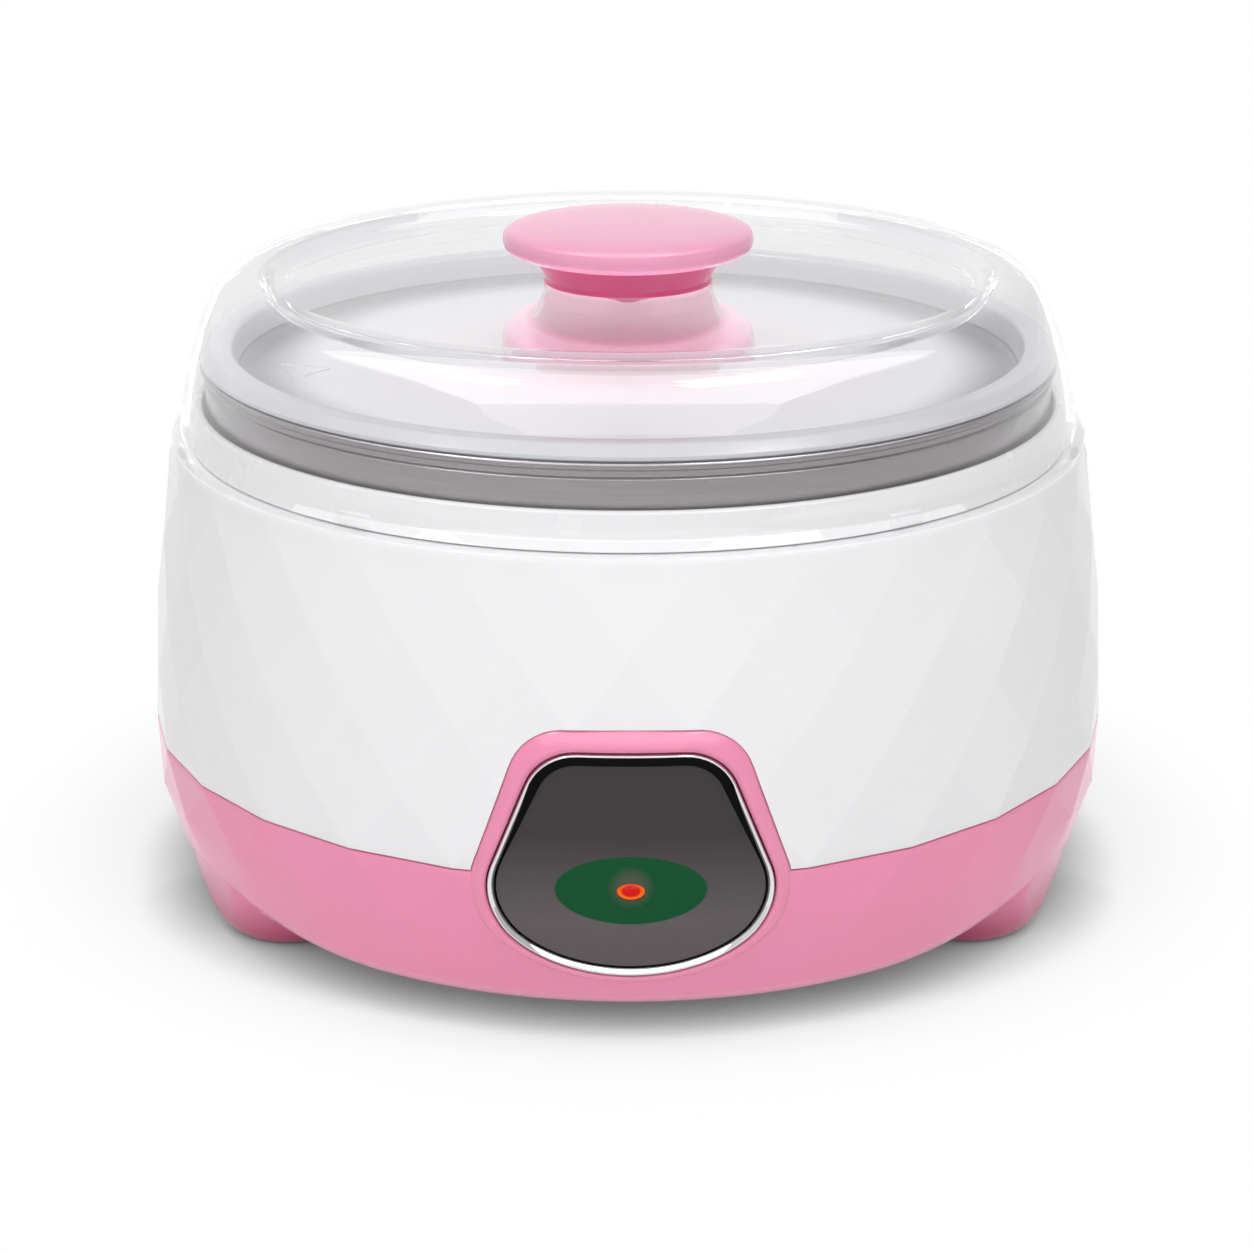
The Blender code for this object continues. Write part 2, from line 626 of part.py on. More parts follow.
def make_base_shell(material):
    lip_outer = body_radius(SEAM_Z) - SHELL_WALL - GAP
    lip_inner = lip_outer - LIP_WALL
    lip_top = SEAM_Z + LIP_HEIGHT
    rows = [circle_row(lip_outer, SEAM_Z, BODY_STEPS)]
    rows.append(circle_row(body_radius(SEAM_Z), SEAM_Z, FACETS, half_step=True))
    rows.append(circle_row(BASE_ROW_RADIUS, BASE_ROW_Z, FACETS))
    rows += [circle_row(r, z, BODY_STEPS) for r, z in tuck_curve(0.0)]
    rows.reverse()
    rows.append(circle_row(lip_outer, lip_top, BODY_STEPS))
    rows.append(circle_row(lip_inner, lip_top, BODY_STEPS))
    rows.append(circle_row(lip_inner, BASE_ROW_Z, BODY_STEPS))
    rows += [circle_row(r, z, BODY_STEPS) for r, z in tuck_curve(BASE_WALL)]
    base = lofted("base_shell", rows, material)
    for index in range(len(FOOT_ANGLES)):
        boolean(base, foot_lobe(index), "UNION")
    boolean(base, panel_piece("panel_frame", frame_outline(), FRAME_DEPTH, FRAME_PROUD), "UNION")
    for index, angle in enumerate(BASE_SCREW_ANGLES):
        post = cylinder("screw_post_%d" % index, POST_RADIUS, BASE_FLOOR_Z - BASE_WALL / 2, POST_TOP_Z)
        post.location = around(BASE_SCREW_CIRCLE, angle)
        boolean(base, post, "UNION")
    inlet_seat = block("inlet_seat", inlet_seat_size(), inlet_seat_centre())
    boolean(base, inlet_seat, "UNION")
    for side in (-1, 1):
        boolean(base, board_peg(side), "UNION")
    boolean(base, panel_piece("panel_pocket", bezel_outline(GAP), POCKET_DEPTH, 2 * FRAME_DEPTH), "DIFFERENCE")
    lens_hole = front_prism("lens_hole", lens_outline(GAP), BODY_RADIUS - 2 * FRAME_DEPTH, BODY_RADIUS)
    boolean(base, lens_hole, "DIFFERENCE")
    cut_inlet(base)
    for index, angle in enumerate(BASE_SCREW_ANGLES):
        bore = SCREW_RADIUS + GAP
        sink = SCREW_HEAD_RADIUS + GAP
        top = POST_TOP_Z + BASE_WALL
        profile = [(0.0, top), (bore, top), (bore, COUNTERBORE_Z), (sink, COUNTERBORE_Z), (sink, 0.0), (0.0, 0.0)]
        screw_hole = turned("base_screw_hole_%d" % index, profile, SMALL_STEPS)
        screw_hole.location = around(BASE_SCREW_CIRCLE, angle)
        boolean(base, screw_hole, "DIFFERENCE")
    for index, angle in enumerate(FOOT_ANGLES):
        pocket = cylinder("pad_pocket_%d" % index, PAD_RADIUS + GAP, -PAD_THICKNESS, PAD_THICKNESS + GAP)
        pocket.location = around(FOOT_CIRCLE, angle)
        boolean(base, pocket, "DIFFERENCE")
    return base


def foot_lobe(index):
    """Tapered foot, cut to the outline of the base and ending inside the wall above it."""
    tall = CREASE_Z + BASE_WALL
    taper = (FOOT_TOP_RADIUS - FOOT_BOTTOM_RADIUS) / (tall - PAD_PROUD)
    centre = (FOOT_BOTTOM_RADIUS - FOOT_ROUND + taper * FOOT_ROUND, PAD_PROUD + FOOT_ROUND)
    profile = [(0.0, tall), (FOOT_TOP_RADIUS, tall)]
    profile += arc(centre, FOOT_ROUND, -5, -90)
    profile.append((0.0, PAD_PROUD))
    lobe = turned("foot_lobe_%d" % index, profile, SMALL_STEPS)
    lobe.location = around(FOOT_CIRCLE, FOOT_ANGLES[index])
    roof = tuck_curve(BASE_WALL / 2)
    slope = (BASE_ROW_RADIUS - CREASE_RADIUS) / (BASE_ROW_Z - CREASE_Z)
    limit = [(0.0, roof[-1][1])] + roof[::-1]
    limit += [(CREASE_RADIUS - slope * (CREASE_Z - PAD_PROUD), -PAD_PROUD), (0.0, -PAD_PROUD)]
    boolean(lobe, turned("foot_limit_%d" % index, limit, BODY_STEPS), "INTERSECT")
    return lobe


def inlet_seat_size():
    margin = 2 * BASE_WALL
    depth = INLET_BODY_DEPTH / 2
    return (INLET_BODY_WIDTH + 2 * margin, depth, INLET_BODY_HEIGHT + 2 * BASE_WALL)


def inlet_seat_centre():
    return (0.0, INLET_FACE_Y - inlet_seat_size()[1] / 2, INLET_Z)


def cut_inlet(base):
    deep = BODY_RADIUS - INLET_FACE_Y
    recess_size = (INLET_FLANGE_WIDTH + 2 * GAP, 2 * deep, INLET_FLANGE_HEIGHT + 2 * GAP)
    recess = block("inlet_recess", recess_size, (0.0, INLET_FACE_Y + deep, INLET_Z))
    hole_size = (INLET_BODY_WIDTH + 2 * GAP, 4 * INLET_BODY_DEPTH, INLET_BODY_HEIGHT + 2 * GAP)
    hole = block("inlet_hole", hole_size, (0.0, INLET_FACE_Y, INLET_Z))
    boolean(base, recess, "DIFFERENCE")
    boolean(base, hole, "DIFFERENCE")


def board_back_y():
    return -(outer_radius(PANEL_CENTRE_Z) - FRAME_DEPTH - 2 * GAP) + BOARD_WIDTH ** 2 / (8 * BODY_RADIUS)


def board_peg(side):
    near = -board_back_y() - 2 * BOARD_THICKNESS
    far = outer_radius(PANEL_CENTRE_Z) - POCKET_DEPTH - BASE_WALL / 2
    peg = cylinder("board_peg_%d" % side, BOARD_PEG_RADIUS, -far, -near, steps=SMALL_STEPS // 2)
    peg.rotation_euler = (-pi / 2, 0.0, 0.0)
    peg.location = (side * BOARD_PEG_SPACING / 2, 0.0, PANEL_CENTRE_Z)
    return peg


def make_foot_pads(material):
    for name, angle in zip(("foot_pad_left", "foot_pad_right", "foot_pad_rear"), FOOT_ANGLES):
        pad = cylinder(name, PAD_RADIUS, 0.0, PAD_THICKNESS, material)
        pad.location = around(FOOT_CIRCLE, angle)


def make_panel(chrome, smoked, red, board_green):
    bezel = panel_piece("panel_bezel", bezel_outline(), POCKET_DEPTH - GAP, BEZEL_PROUD, chrome)
    middle = front_prism("bezel_opening", bezel_outline(-BEZEL_WIDTH), BODY_RADIUS / 2, 2 * BODY_RADIUS)
    boolean(bezel, middle, "DIFFERENCE")
    window = panel_piece("panel_window", bezel_outline(-BEZEL_WIDTH - GAP), POCKET_DEPTH - GAP, -WINDOW_SUNK, smoked)
    lens_opening = front_prism("lens_opening", lens_outline(LENS_HOLE_MARGIN), BODY_RADIUS / 2, 2 * BODY_RADIUS)
    boolean(window, lens_opening, "DIFFERENCE")
    board_front = -board_back_y() + GAP
    lens_front = outer_radius(PANEL_CENTRE_Z) - WINDOW_SUNK - LENS_SUNK
    lens = front_prism("indicator_lens", lens_outline(), board_front, lens_front, red)
    round_edges(lens, LENS_SUNK)
    board_size = (BOARD_WIDTH, BOARD_THICKNESS, BOARD_HEIGHT)
    board_y = board_back_y() + BOARD_THICKNESS / 2
    board = block("lamp_board", board_size, (0.0, board_y, PANEL_CENTRE_Z), board_green)
    for side in (-1, 1):
        hole = cylinder("board_hole_%d" % side, BOARD_PEG_RADIUS + GAP, -BODY_RADIUS, BODY_RADIUS)
        hole.rotation_euler = (-pi / 2, 0.0, 0.0)
        hole.location = (side * BOARD_PEG_SPACING / 2, 0.0, PANEL_CENTRE_Z)
        boolean(board, hole, "DIFFERENCE")


def cup_line(radius, foot_radius, corner, floor_z, top_z):
    """Inside of a cup: from the floor near the axis, round the corner and up the wall."""
    lean = atan2(radius - foot_radius, top_z - floor_z)
    bend_x = foot_radius - corner
    bend = arc((bend_x, floor_z + corner), corner, -90, 0)
    return bend[:-1] + [(foot_radius + corner * tan(lean), floor_z + corner), (radius, top_z)]


def well_inside():
    return cup_line(RIM_RADIUS, RIM_RADIUS - WELL_DRAFT, WELL_CORNER, WELL_FLOOR_Z, LID_Z)


def make_inner_well(material):
    inside = [(WELL_OPENING, WELL_FLOOR_Z)] + well_inside()
    outside = [(r, z) for r, z in offset_line(inside, -WELL_WALL)]
    flat = WELL_UNDER_Z
    outside = [(r, flat if abs(z - (WELL_FLOOR_Z - WELL_WALL)) < GAP / 10 else z) for r, z in outside]
    lip = (COLLAR_TOP_RADIUS - RIM_RADIUS) / 2
    top = arc((RIM_RADIUS + lip, RIM_Z - lip), lip, 180, 0)
    outside[-1] = (RIM_RADIUS + WELL_WALL, LID_Z)
    profile = inside + top + [(COLLAR_FOOT_RADIUS, LID_Z)] + outside[::-1]
    well = turned("inner_well", profile, TURN_STEPS, material, ring=True)
    for index, angle in enumerate(TAB_ANGLES):
        boolean(well, locating_tab(index, angle), "UNION")
    boss_low = POST_TOP_Z + GAP
    for index, angle in enumerate(BASE_SCREW_ANGLES):
        boss_high = WELL_FLOOR_Z - WELL_FLOOR / 2
        drilled_to = boss_low + BASE_SCREW_GRIP + GAP
        boss = drilled_boss("well_boss_%d" % index, BOSS_RADIUS, boss_low, boss_high, drilled_to)
        boss.location = around(BASE_SCREW_CIRCLE, angle)
        boolean(well, boss, "UNION")
    return well


def locating_tab(index, angle):
    """Small block on the collar that centres the clear lid."""
    depth = COLLAR_FOOT_RADIUS + TAB_PROUD - RIM_RADIUS - WELL_WALL / 2
    middle = COLLAR_FOOT_RADIUS + TAB_PROUD - depth / 2
    size = (TAB_WIDTH, depth, TAB_HEIGHT)
    tab = block("locating_tab_%d" % index, size, around(middle, angle, LID_Z + GAP + TAB_HEIGHT / 2))
    tab.rotation_euler = (0.0, 0.0, radians(angle))
    return tab


def pot_outside():
    foot = RIM_RADIUS - WELL_DRAFT - POT_CLEARANCE
    return cup_line(POT_RADIUS, foot, POT_CORNER, POT_Z, POT_TOP_Z - 2 * BEAD_HALF_HEIGHT)


def make_inner_pot(material):
    outside = [(0.0, POT_Z)] + pot_outside()
    inside = offset_line(outside, POT_WALL)
    inside[0] = (0.0, inside[0][1])
    half_width = (BEAD_PROUD + POT_WALL) / 2
    bead_r = POT_RADIUS + BEAD_PROUD - half_width
    bead_z = POT_TOP_Z - BEAD_HALF_HEIGHT
    bead = []
    for x, z in arc((0.0, 0.0), 1.0, 170, -70, 2 * ARC_POINTS):
        bead.append((bead_r + half_width * x, bead_z + BEAD_HALF_HEIGHT * z))
    return turned("inner_pot", inside + bead + outside[::-1], TURN_STEPS, material)


def make_inner_lid(material):
    seat_z = POT_TOP_Z + GAP
    edge = POT_RADIUS + BEAD_PROUD - GAP / 2
    floor_z = CROWN_Z - RECESS_DEPTH
    under_z = floor_z - INNER_LID_WALL
    skirt = POT_RADIUS - POT_WALL - SKIRT_CLEARANCE
    recess = CROWN_INNER - RECESS_DRAFT
    groove_top = CROWN_Z - INNER_LID_WALL
    profile = [(0.0, floor_z), (recess, floor_z), (CROWN_INNER, CROWN_Z), (CROWN_OUTER - INNER_LID_WALL / 2, CROWN_Z),
               (CROWN_OUTER, CROWN_Z - INNER_LID_WALL / 4), (edge, seat_z + INNER_LID_WALL / 2), (edge, seat_z),
               (skirt, seat_z), (skirt, seat_z - SKIRT_DEPTH),
               (skirt - INNER_LID_WALL / 2, seat_z - SKIRT_DEPTH), (skirt - INNER_LID_WALL / 2, groove_top),
               (CROWN_INNER + INNER_LID_WALL / 2, groove_top), (recess + INNER_LID_WALL, under_z), (0.0, under_z)]
    return turned("inner_lid", profile, TURN_STEPS, material)


def lid_outside():
    """Clear lid from its sunk centre, over the raised ring and shoulder, down to the top of its rim."""
    step = (LID_TOP_Z - LID_PLATE_Z) / 2
    ring = [(LID_PLATE_RADIUS, LID_PLATE_Z), (LID_PLATE_RADIUS + step / 2, LID_PLATE_Z + step)]
    ring.append(((LID_PLATE_RADIUS + LID_TOP_RADIUS) / 2, LID_TOP_Z - step / 4))
    shoulder = []
    across = LID_SHOULDER_RADIUS - LID_TOP_RADIUS
    fall = LID_TOP_Z - LID_SHOULDER_Z
    for i in range(ARC_POINTS + 1):
        angle = pi / 2 * i / ARC_POINTS
        shoulder.append((LID_TOP_RADIUS + across * sin(angle), LID_SHOULDER_Z + fall * cos(angle)))
    wall = []
    for i in range(1, ARC_POINTS):
        share = i / (ARC_POINTS - 1)
        radius = LID_SHOULDER_RADIUS + (LID_FOOT_RADIUS - LID_SHOULDER_RADIUS) * share
        z = LID_SHOULDER_Z + (LID_Z + LID_FOOT_RISE - LID_SHOULDER_Z) * share
        wall.append((radius + LID_BULGE * 4 * share * (1 - share), z))
    return ring + shoulder + wall


def make_outer_lid(material):
    outside = lid_outside()
    inside = offset_line(outside, -LID_WALL)
    hole = KNOB_SCREW_RADIUS + 2 * GAP
    under = LID_PLATE_Z - LID_WALL
    foot = [(LID_RIM_RADIUS, LID_Z + LID_RIM_HEIGHT), (LID_RIM_RADIUS, LID_Z)]
    rim_inner = COLLAR_FOOT_RADIUS + TAB_PROUD + 2 * GAP
    foot += [(rim_inner, LID_Z), (rim_inner, LID_Z + LID_FOOT_RISE * 0.6)]
    inside[0] = (inside[0][0], under)
    profile = [(hole, LID_PLATE_Z)] + outside + foot + inside[::-1] + [(hole, under)]
    return turned("outer_lid", profile, TURN_STEPS, material, ring=True)


def make_knob(pink, steel):
    foot = LID_PLATE_Z + GAP
    edge = KNOB_EDGE / 2
    hole = KNOB_SCREW_RADIUS + GAP
    hole_top = LID_PLATE_Z + KNOB_SCREW_DEPTH + GAP
    crown = []
    for i in range(ARC_POINTS + 2):
        angle = pi / 2 * i / (ARC_POINTS + 1)
        crown.append((KNOB_RADIUS * sin(angle), KNOB_EQUATOR_Z + KNOB_DOME * sqrt(cos(angle))))
    crown[-1] = (KNOB_RADIUS, KNOB_EQUATOR_Z)
    profile = crown + [(KNOB_RADIUS - edge / 2, KNOB_EQUATOR_Z - edge), (KNOB_RADIUS - 2 * edge, KNOB_UNDER_Z)]
    profile += [(NECK_TOP_RADIUS, KNOB_UNDER_Z), (NECK_FOOT_RADIUS, foot), (hole, foot), (hole, hole_top)]
    profile.append((0.0, hole_top))
    knob = turned("lid_knob", profile, TURN_STEPS // 2 + SMALL_STEPS // 2, pink)
    under = LID_PLATE_Z - LID_WALL
    washer_z = under - GAP - WASHER_THICKNESS
    ring = [(KNOB_SCREW_RADIUS + GAP, washer_z + WASHER_THICKNESS), (WASHER_RADIUS, washer_z + WASHER_THICKNESS),
            (WASHER_RADIUS, washer_z), (KNOB_SCREW_RADIUS + GAP, washer_z)]
    washer = turned("knob_washer", ring, SMALL_STEPS, steel, ring=True)
    seat = washer_z - GAP
    length = LID_PLATE_Z + KNOB_SCREW_DEPTH - seat
    screw = pan_screw("knob_screw", KNOB_SCREW_HEAD, KNOB_SCREW_HEAD_HEIGHT, KNOB_SCREW_RADIUS, length, steel)
    screw.location = (0.0, 0.0, seat)
    return knob, washer, screw


def make_heater(aluminium, ceramic, steel, fuse_colour):
    plate_disc = cylinder("heater_plate", PLATE_RADIUS, PLATE_Z, PLATE_TOP_Z, aluminium, TURN_STEPS)
    boss_low = STRAP_Z + STRAP_THICKNESS + GAP
    clip_boss_low = CLIP_Z + CLIP_THICKNESS + GAP
    places = [(-PLATE_BOSS_SPACING / 2, 0.0, boss_low), (PLATE_BOSS_SPACING / 2, 0.0, boss_low),
              (0.0, CLIP_SCREW_Y, clip_boss_low)]
    for index, (x, y, low) in enumerate(places):
        high = PLATE_Z + PLATE_THICKNESS / 2
        boss = drilled_boss("plate_boss_%d" % index, PLATE_BOSS_RADIUS, low, high, PLATE_Z - GAP)
        boss.location = (x, y, 0.0)
        boolean(plate_disc, boss, "UNION")
    element_size = (ELEMENT_LENGTH, ELEMENT_WIDTH, ELEMENT_THICKNESS)
    block("heater_element", element_size, (0.0, 0.0, ELEMENT_Z + ELEMENT_THICKNESS / 2), ceramic, GAP)
    make_strap(steel)
    make_fuse(fuse_colour, steel)
    screw_names = ("strap_screw_left", "strap_screw_right", "clip_screw")
    seats = (STRAP_Z - GAP, STRAP_Z - GAP, CLIP_Z - GAP)
    for name, (x, y, low), seat in zip(screw_names, places, seats):
        length = PLATE_Z - 2 * GAP - seat
        screw = pan_screw(name, SCREW_HEAD_RADIUS, SCREW_HEAD_HEIGHT, SCREW_RADIUS, length, steel)
        screw.location = (x, y, seat)


def make_strap(steel):
    """Spring strap: low under the element, its ends stepped up against the well floor."""
    high = WELL_UNDER_Z - GAP
    low = STRAP_Z + STRAP_THICKNESS
    inner = PLATE_BOSS_SPACING / 2 + PLATE_BOSS_RADIUS + STRAP_THICKNESS
    outer = inner + (high - low)
    end = WELL_OPENING + STRAP_OVERLAP
    right = [(end, high), (max(outer, WELL_OPENING - STRAP_OVERLAP), high), (inner, low)]
    upper = [(-x, z) for x, z in right] + right[::-1]
    lower = [(x, z - STRAP_THICKNESS) for x, z in upper]
    strap = front_prism("heater_strap", upper + lower[::-1], -STRAP_WIDTH / 2, STRAP_WIDTH / 2, steel)
    for side in (-1, 1):
        hole = cylinder("strap_hole_%d" % side, SCREW_RADIUS + GAP, STRAP_Z - GAP, low + GAP)
        hole.location = (side * PLATE_BOSS_SPACING / 2, 0.0, 0.0)
        boolean(strap, hole, "DIFFERENCE")


def make_fuse(fuse_colour, steel):
    half = FUSE_LENGTH / 2
    tip = half + FUSE_LEAD_LENGTH
    profile = [(0.0, tip), (FUSE_LEAD_RADIUS, tip), (FUSE_LEAD_RADIUS, half), (FUSE_RADIUS, half - FUSE_LEAD_RADIUS)]
    profile += [(r, -z) for r, z in reversed(profile)]
    fuse = turned("thermal_fuse", profile, SMALL_STEPS // 2, fuse_colour)
    fuse.rotation_euler = (0.0, pi / 2, 0.0)
    fuse.location = (0.0, FUSE_Y, FUSE_Z)
    near = FUSE_Y - FUSE_RADIUS - GAP
    far = CLIP_SCREW_Y + PLATE_BOSS_RADIUS
    top = CLIP_Z + CLIP_THICKNESS
    outline = [(near - CLIP_THICKNESS, CLIP_Z), (far, CLIP_Z), (far, top), (near, top), (near, FUSE_Z),
               (near - CLIP_THICKNESS, FUSE_Z)]
    clip = front_prism("fuse_clip", outline, -CLIP_WIDTH / 2, CLIP_WIDTH / 2, steel)
    clip.rotation_euler = (pi / 2, 0.0, pi / 2)
    clip.location = (0.0, 0.0, 0.0)
    hole = cylinder("clip_hole", SCREW_RADIUS + GAP, CLIP_Z - GAP, top + GAP)
    hole.location = (0.0, CLIP_SCREW_Y, 0.0)
    boolean(clip, hole, "DIFFERENCE")


def make_base_screws(steel):
    seat = COUNTERBORE_Z - GAP
    length = POST_TOP_Z + GAP + BASE_SCREW_GRIP - seat
    for name, angle in zip(("base_screw_front", "base_screw_right", "base_screw_left"), BASE_SCREW_ANGLES):
        screw = pan_screw(name, SCREW_HEAD_RADIUS, SCREW_HEAD_HEIGHT, SCREW_RADIUS, length, steel)
        screw.location = around(BASE_SCREW_CIRCLE, angle, seat)


def stadium(width, height):
    radius = height / 2
    right = arc((width / 2 - radius, 0.0), radius, -90, 90, 2 * ARC_POINTS)
    left = arc((radius - width / 2, 0.0), radius, 90, 270, 2 * ARC_POINTS)
    return right + left


def make_inlet(black, brass):
    face = INLET_FACE_Y + GAP + INLET_FLANGE
    flange_size = (INLET_FLANGE_WIDTH, INLET_FLANGE, INLET_FLANGE_HEIGHT)
    socket = block("inlet_socket", flange_size, (0.0, face - INLET_FLANGE / 2, INLET_Z), black)
    back = face - INLET_FLANGE - INLET_BODY_DEPTH
    body_size = (INLET_BODY_WIDTH, INLET_BODY_DEPTH + INLET_FLANGE / 2, INLET_BODY_HEIGHT)
    body = block("inlet_body", body_size, (0.0, back + body_size[1] / 2, INLET_Z))
    boolean(socket, body, "UNION")
    slot = plate("inlet_slot", stadium(INLET_SLOT_WIDTH, INLET_SLOT_HEIGHT), 2 * INLET_SLOT_DEPTH)
    slot.rotation_euler = (pi / 2, 0.0, 0.0)
    slot.location = (0.0, face, INLET_Z)
    boolean(socket, slot, "DIFFERENCE")
    for name, side in (("inlet_pin_left", -1), ("inlet_pin_right", 1)):
        x = side * PIN_SPACING / 2
        bore = cylinder(name + "_bore", PIN_RADIUS + GAP, 0.0, 2 * INLET_BODY_DEPTH)
        pin = cylinder(name, PIN_RADIUS, back - PIN_TAIL, face - PIN_RECESS, brass, SMALL_STEPS // 2)
        bore.location = (x, back - INLET_BODY_DEPTH, INLET_Z)
        pin.location = (x, 0.0, INLET_Z)
        for item in (bore, pin):
            item.rotation_euler = (-pi / 2, 0.0, 0.0)
        boolean(socket, bore, "DIFFERENCE")


def make_wiring(block_colour, live, neutral):
    low = BASE_FLOOR_Z + GAP
    size = (BLOCK_WIDTH, BLOCK_DEPTH, BLOCK_HEIGHT)
    block("terminal_block", size, (0.0, BLOCK_Y, low + BLOCK_HEIGHT / 2), block_colour, GAP)
    front = BLOCK_Y - BLOCK_DEPTH / 2 - GAP
    rear = BLOCK_Y + BLOCK_DEPTH / 2 + GAP
    port_z = low + BLOCK_HEIGHT / 2
    tail_y = INLET_FACE_Y + GAP - INLET_BODY_DEPTH - PIN_TAIL - GAP
    pin_x = PIN_SPACING / 2
    for name, side, colour in (("inlet_wire_live", 1, live), ("inlet_wire_neutral", -1, neutral)):
        x = side * pin_x
        bow = 2 * side * MAINS_WIRE_RADIUS
        route = [(x, tail_y, INLET_Z), (x, tail_y - WIRE_STUB, INLET_Z), (x + bow, (tail_y + rear) / 2, port_z),
                 (x, rear + WIRE_STUB, port_z), (x, rear, port_z)]
        wire(name, route, MAINS_WIRE_RADIUS, colour)
    make_heater_wires(front, port_z, pin_x, live, neutral)
    make_lamp_wires(front, low, port_z, live, neutral)


def make_heater_wires(front, port_z, port_x, live, neutral):
    tip = FUSE_LENGTH / 2 + FUSE_LEAD_LENGTH + GAP
    far = tip + WIRE_REACH
    middle = (port_z + FUSE_Z) / 2
    element_y = ELEMENT_WIDTH / 2 + GAP
    element_x = ELEMENT_LENGTH / 2 - 3 * MAINS_WIRE_RADIUS
    element_z = ELEMENT_Z + ELEMENT_THICKNESS / 2
    fuse_route = [(port_x, front, port_z), (port_x, front - WIRE_STUB, port_z), (far, FUSE_Y + WIRE_STUB, middle),
                  (far, FUSE_Y, FUSE_Z), (tip, FUSE_Y, FUSE_Z)]
    wire("fuse_wire", fuse_route, MAINS_WIRE_RADIUS, live)
    link_route = [(-tip, FUSE_Y, FUSE_Z), (-element_x, FUSE_Y, FUSE_Z), (-element_x, element_y, element_z)]
    wire("element_wire_live", link_route, MAINS_WIRE_RADIUS, live)
    bend_y = -element_y - WIRE_STUB
    back_route = [(element_x, -element_y, element_z), (element_x, bend_y, element_z), (element_x, bend_y, middle),
                  (-port_x, 0.0, port_z), (-port_x, front, port_z)]
    wire("element_wire_neutral", back_route, MAINS_WIRE_RADIUS, neutral)


def make_lamp_wires(front, low, port_z, live, neutral):
    floor_z = low + LAMP_WIRE_RADIUS
    port_x = BLOCK_WIDTH / 2 - 4 * LAMP_WIRE_RADIUS
    board_y = board_back_y() + BOARD_THICKNESS + GAP
    solder_z = PANEL_CENTRE_Z - BOARD_HEIGHT / 4
    solder_x = BOARD_PEG_SPACING / 4
    for name, side, colour in (("lamp_wire_live", 1, live), ("lamp_wire_neutral", -1, neutral)):
        x = side * port_x
        end_x = side * solder_x
        route = [(x, front, port_z), (x, front - WIRE_STUB, port_z), (x, front - LAMP_WIRE_RUN, floor_z),
                 (x, 0.0, floor_z), (x, board_y + LAMP_WIRE_CLIMB, floor_z),
                 (end_x, board_y + 2 * WIRE_STUB, solder_z - 2 * WIRE_STUB),
                 (end_x, board_y + WIRE_STUB, solder_z), (end_x, board_y, solder_z)]
        wire(name, route, LAMP_WIRE_RADIUS, colour)


def lift_empty(name, pieces):
    """Empty on the vertical axis that carries what lifts off together."""
    carrier = bpy.data.objects.new(name, None)
    PARTS.objects.link(carrier)
    for piece in pieces:
        piece.parent = carrier
    return carrier


def build():
    white = plain_material("white_plastic", (0.86, 0.86, 0.86), 0.25)
    pink = plain_material("pink_plastic", (0.81, 0.29, 0.44), 0.3)
    clear = plain_material("clear_plastic", (0.9, 0.9, 0.92), 0.05, alpha=0.3)
    frosted = plain_material("frosted_plastic", (0.85, 0.85, 0.87), 0.3, alpha=0.6)
    steel = plain_material("steel", (0.6, 0.59, 0.6), 0.25, 1.0)
    chrome = plain_material("chrome", (0.85, 0.85, 0.86), 0.08, 1.0)
    smoked = plain_material("smoked_plastic", (0.055, 0.05, 0.05), 0.15)
    red = plain_material("red_lens", (0.75, 0.05, 0.01), 0.2)
    rubber = plain_material("rubber", (0.05, 0.05, 0.05), 0.8)
    aluminium = plain_material("aluminium", (0.7, 0.7, 0.72), 0.35, 1.0)
    ceramic = plain_material("ceramic", (0.75, 0.72, 0.66), 0.6)
    brass = plain_material("brass", (0.72, 0.55, 0.22), 0.3, 1.0)
    black = plain_material("black_plastic", (0.02, 0.02, 0.02), 0.4)
    board_green = plain_material("circuit_board", (0.03, 0.2, 0.08), 0.5)
    live = plain_material("red_wire", (0.5, 0.03, 0.02), 0.5)
    neutral = plain_material("blue_wire", (0.03, 0.08, 0.4), 0.5)
    make_upper_housing(white)
    make_base_shell(pink)
    make_foot_pads(rubber)
    make_panel(chrome, smoked, red, board_green)
    make_inner_well(white)
    make_heater(aluminium, ceramic, steel, white)
    make_base_screws(steel)
    make_inlet(black, brass)
    make_wiring(white, live, neutral)
    pot = make_inner_pot(steel)
    inner_lid = make_inner_lid(frosted)
    outer_lid = make_outer_lid(clear)
    pot_lift = lift_empty("pot_lift", [pot])
    inner_lid_lift = lift_empty("inner_lid_lift", [inner_lid])
    outer_lid_lift = lift_empty("outer_lid_lift", [outer_lid, *make_knob(pink, steel)])
    inner_lid_lift.parent = pot_lift
    outer_lid_lift.parent = inner_lid_lift


clear_scene()
PARTS = new_collection("yogurt_maker")
CUTTERS = new_collection("cutters")
build()
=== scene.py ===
from math import atan, cos, pi, radians, sin, sqrt, tan

import bmesh
import bpy
from mathutils import Matrix, Vector


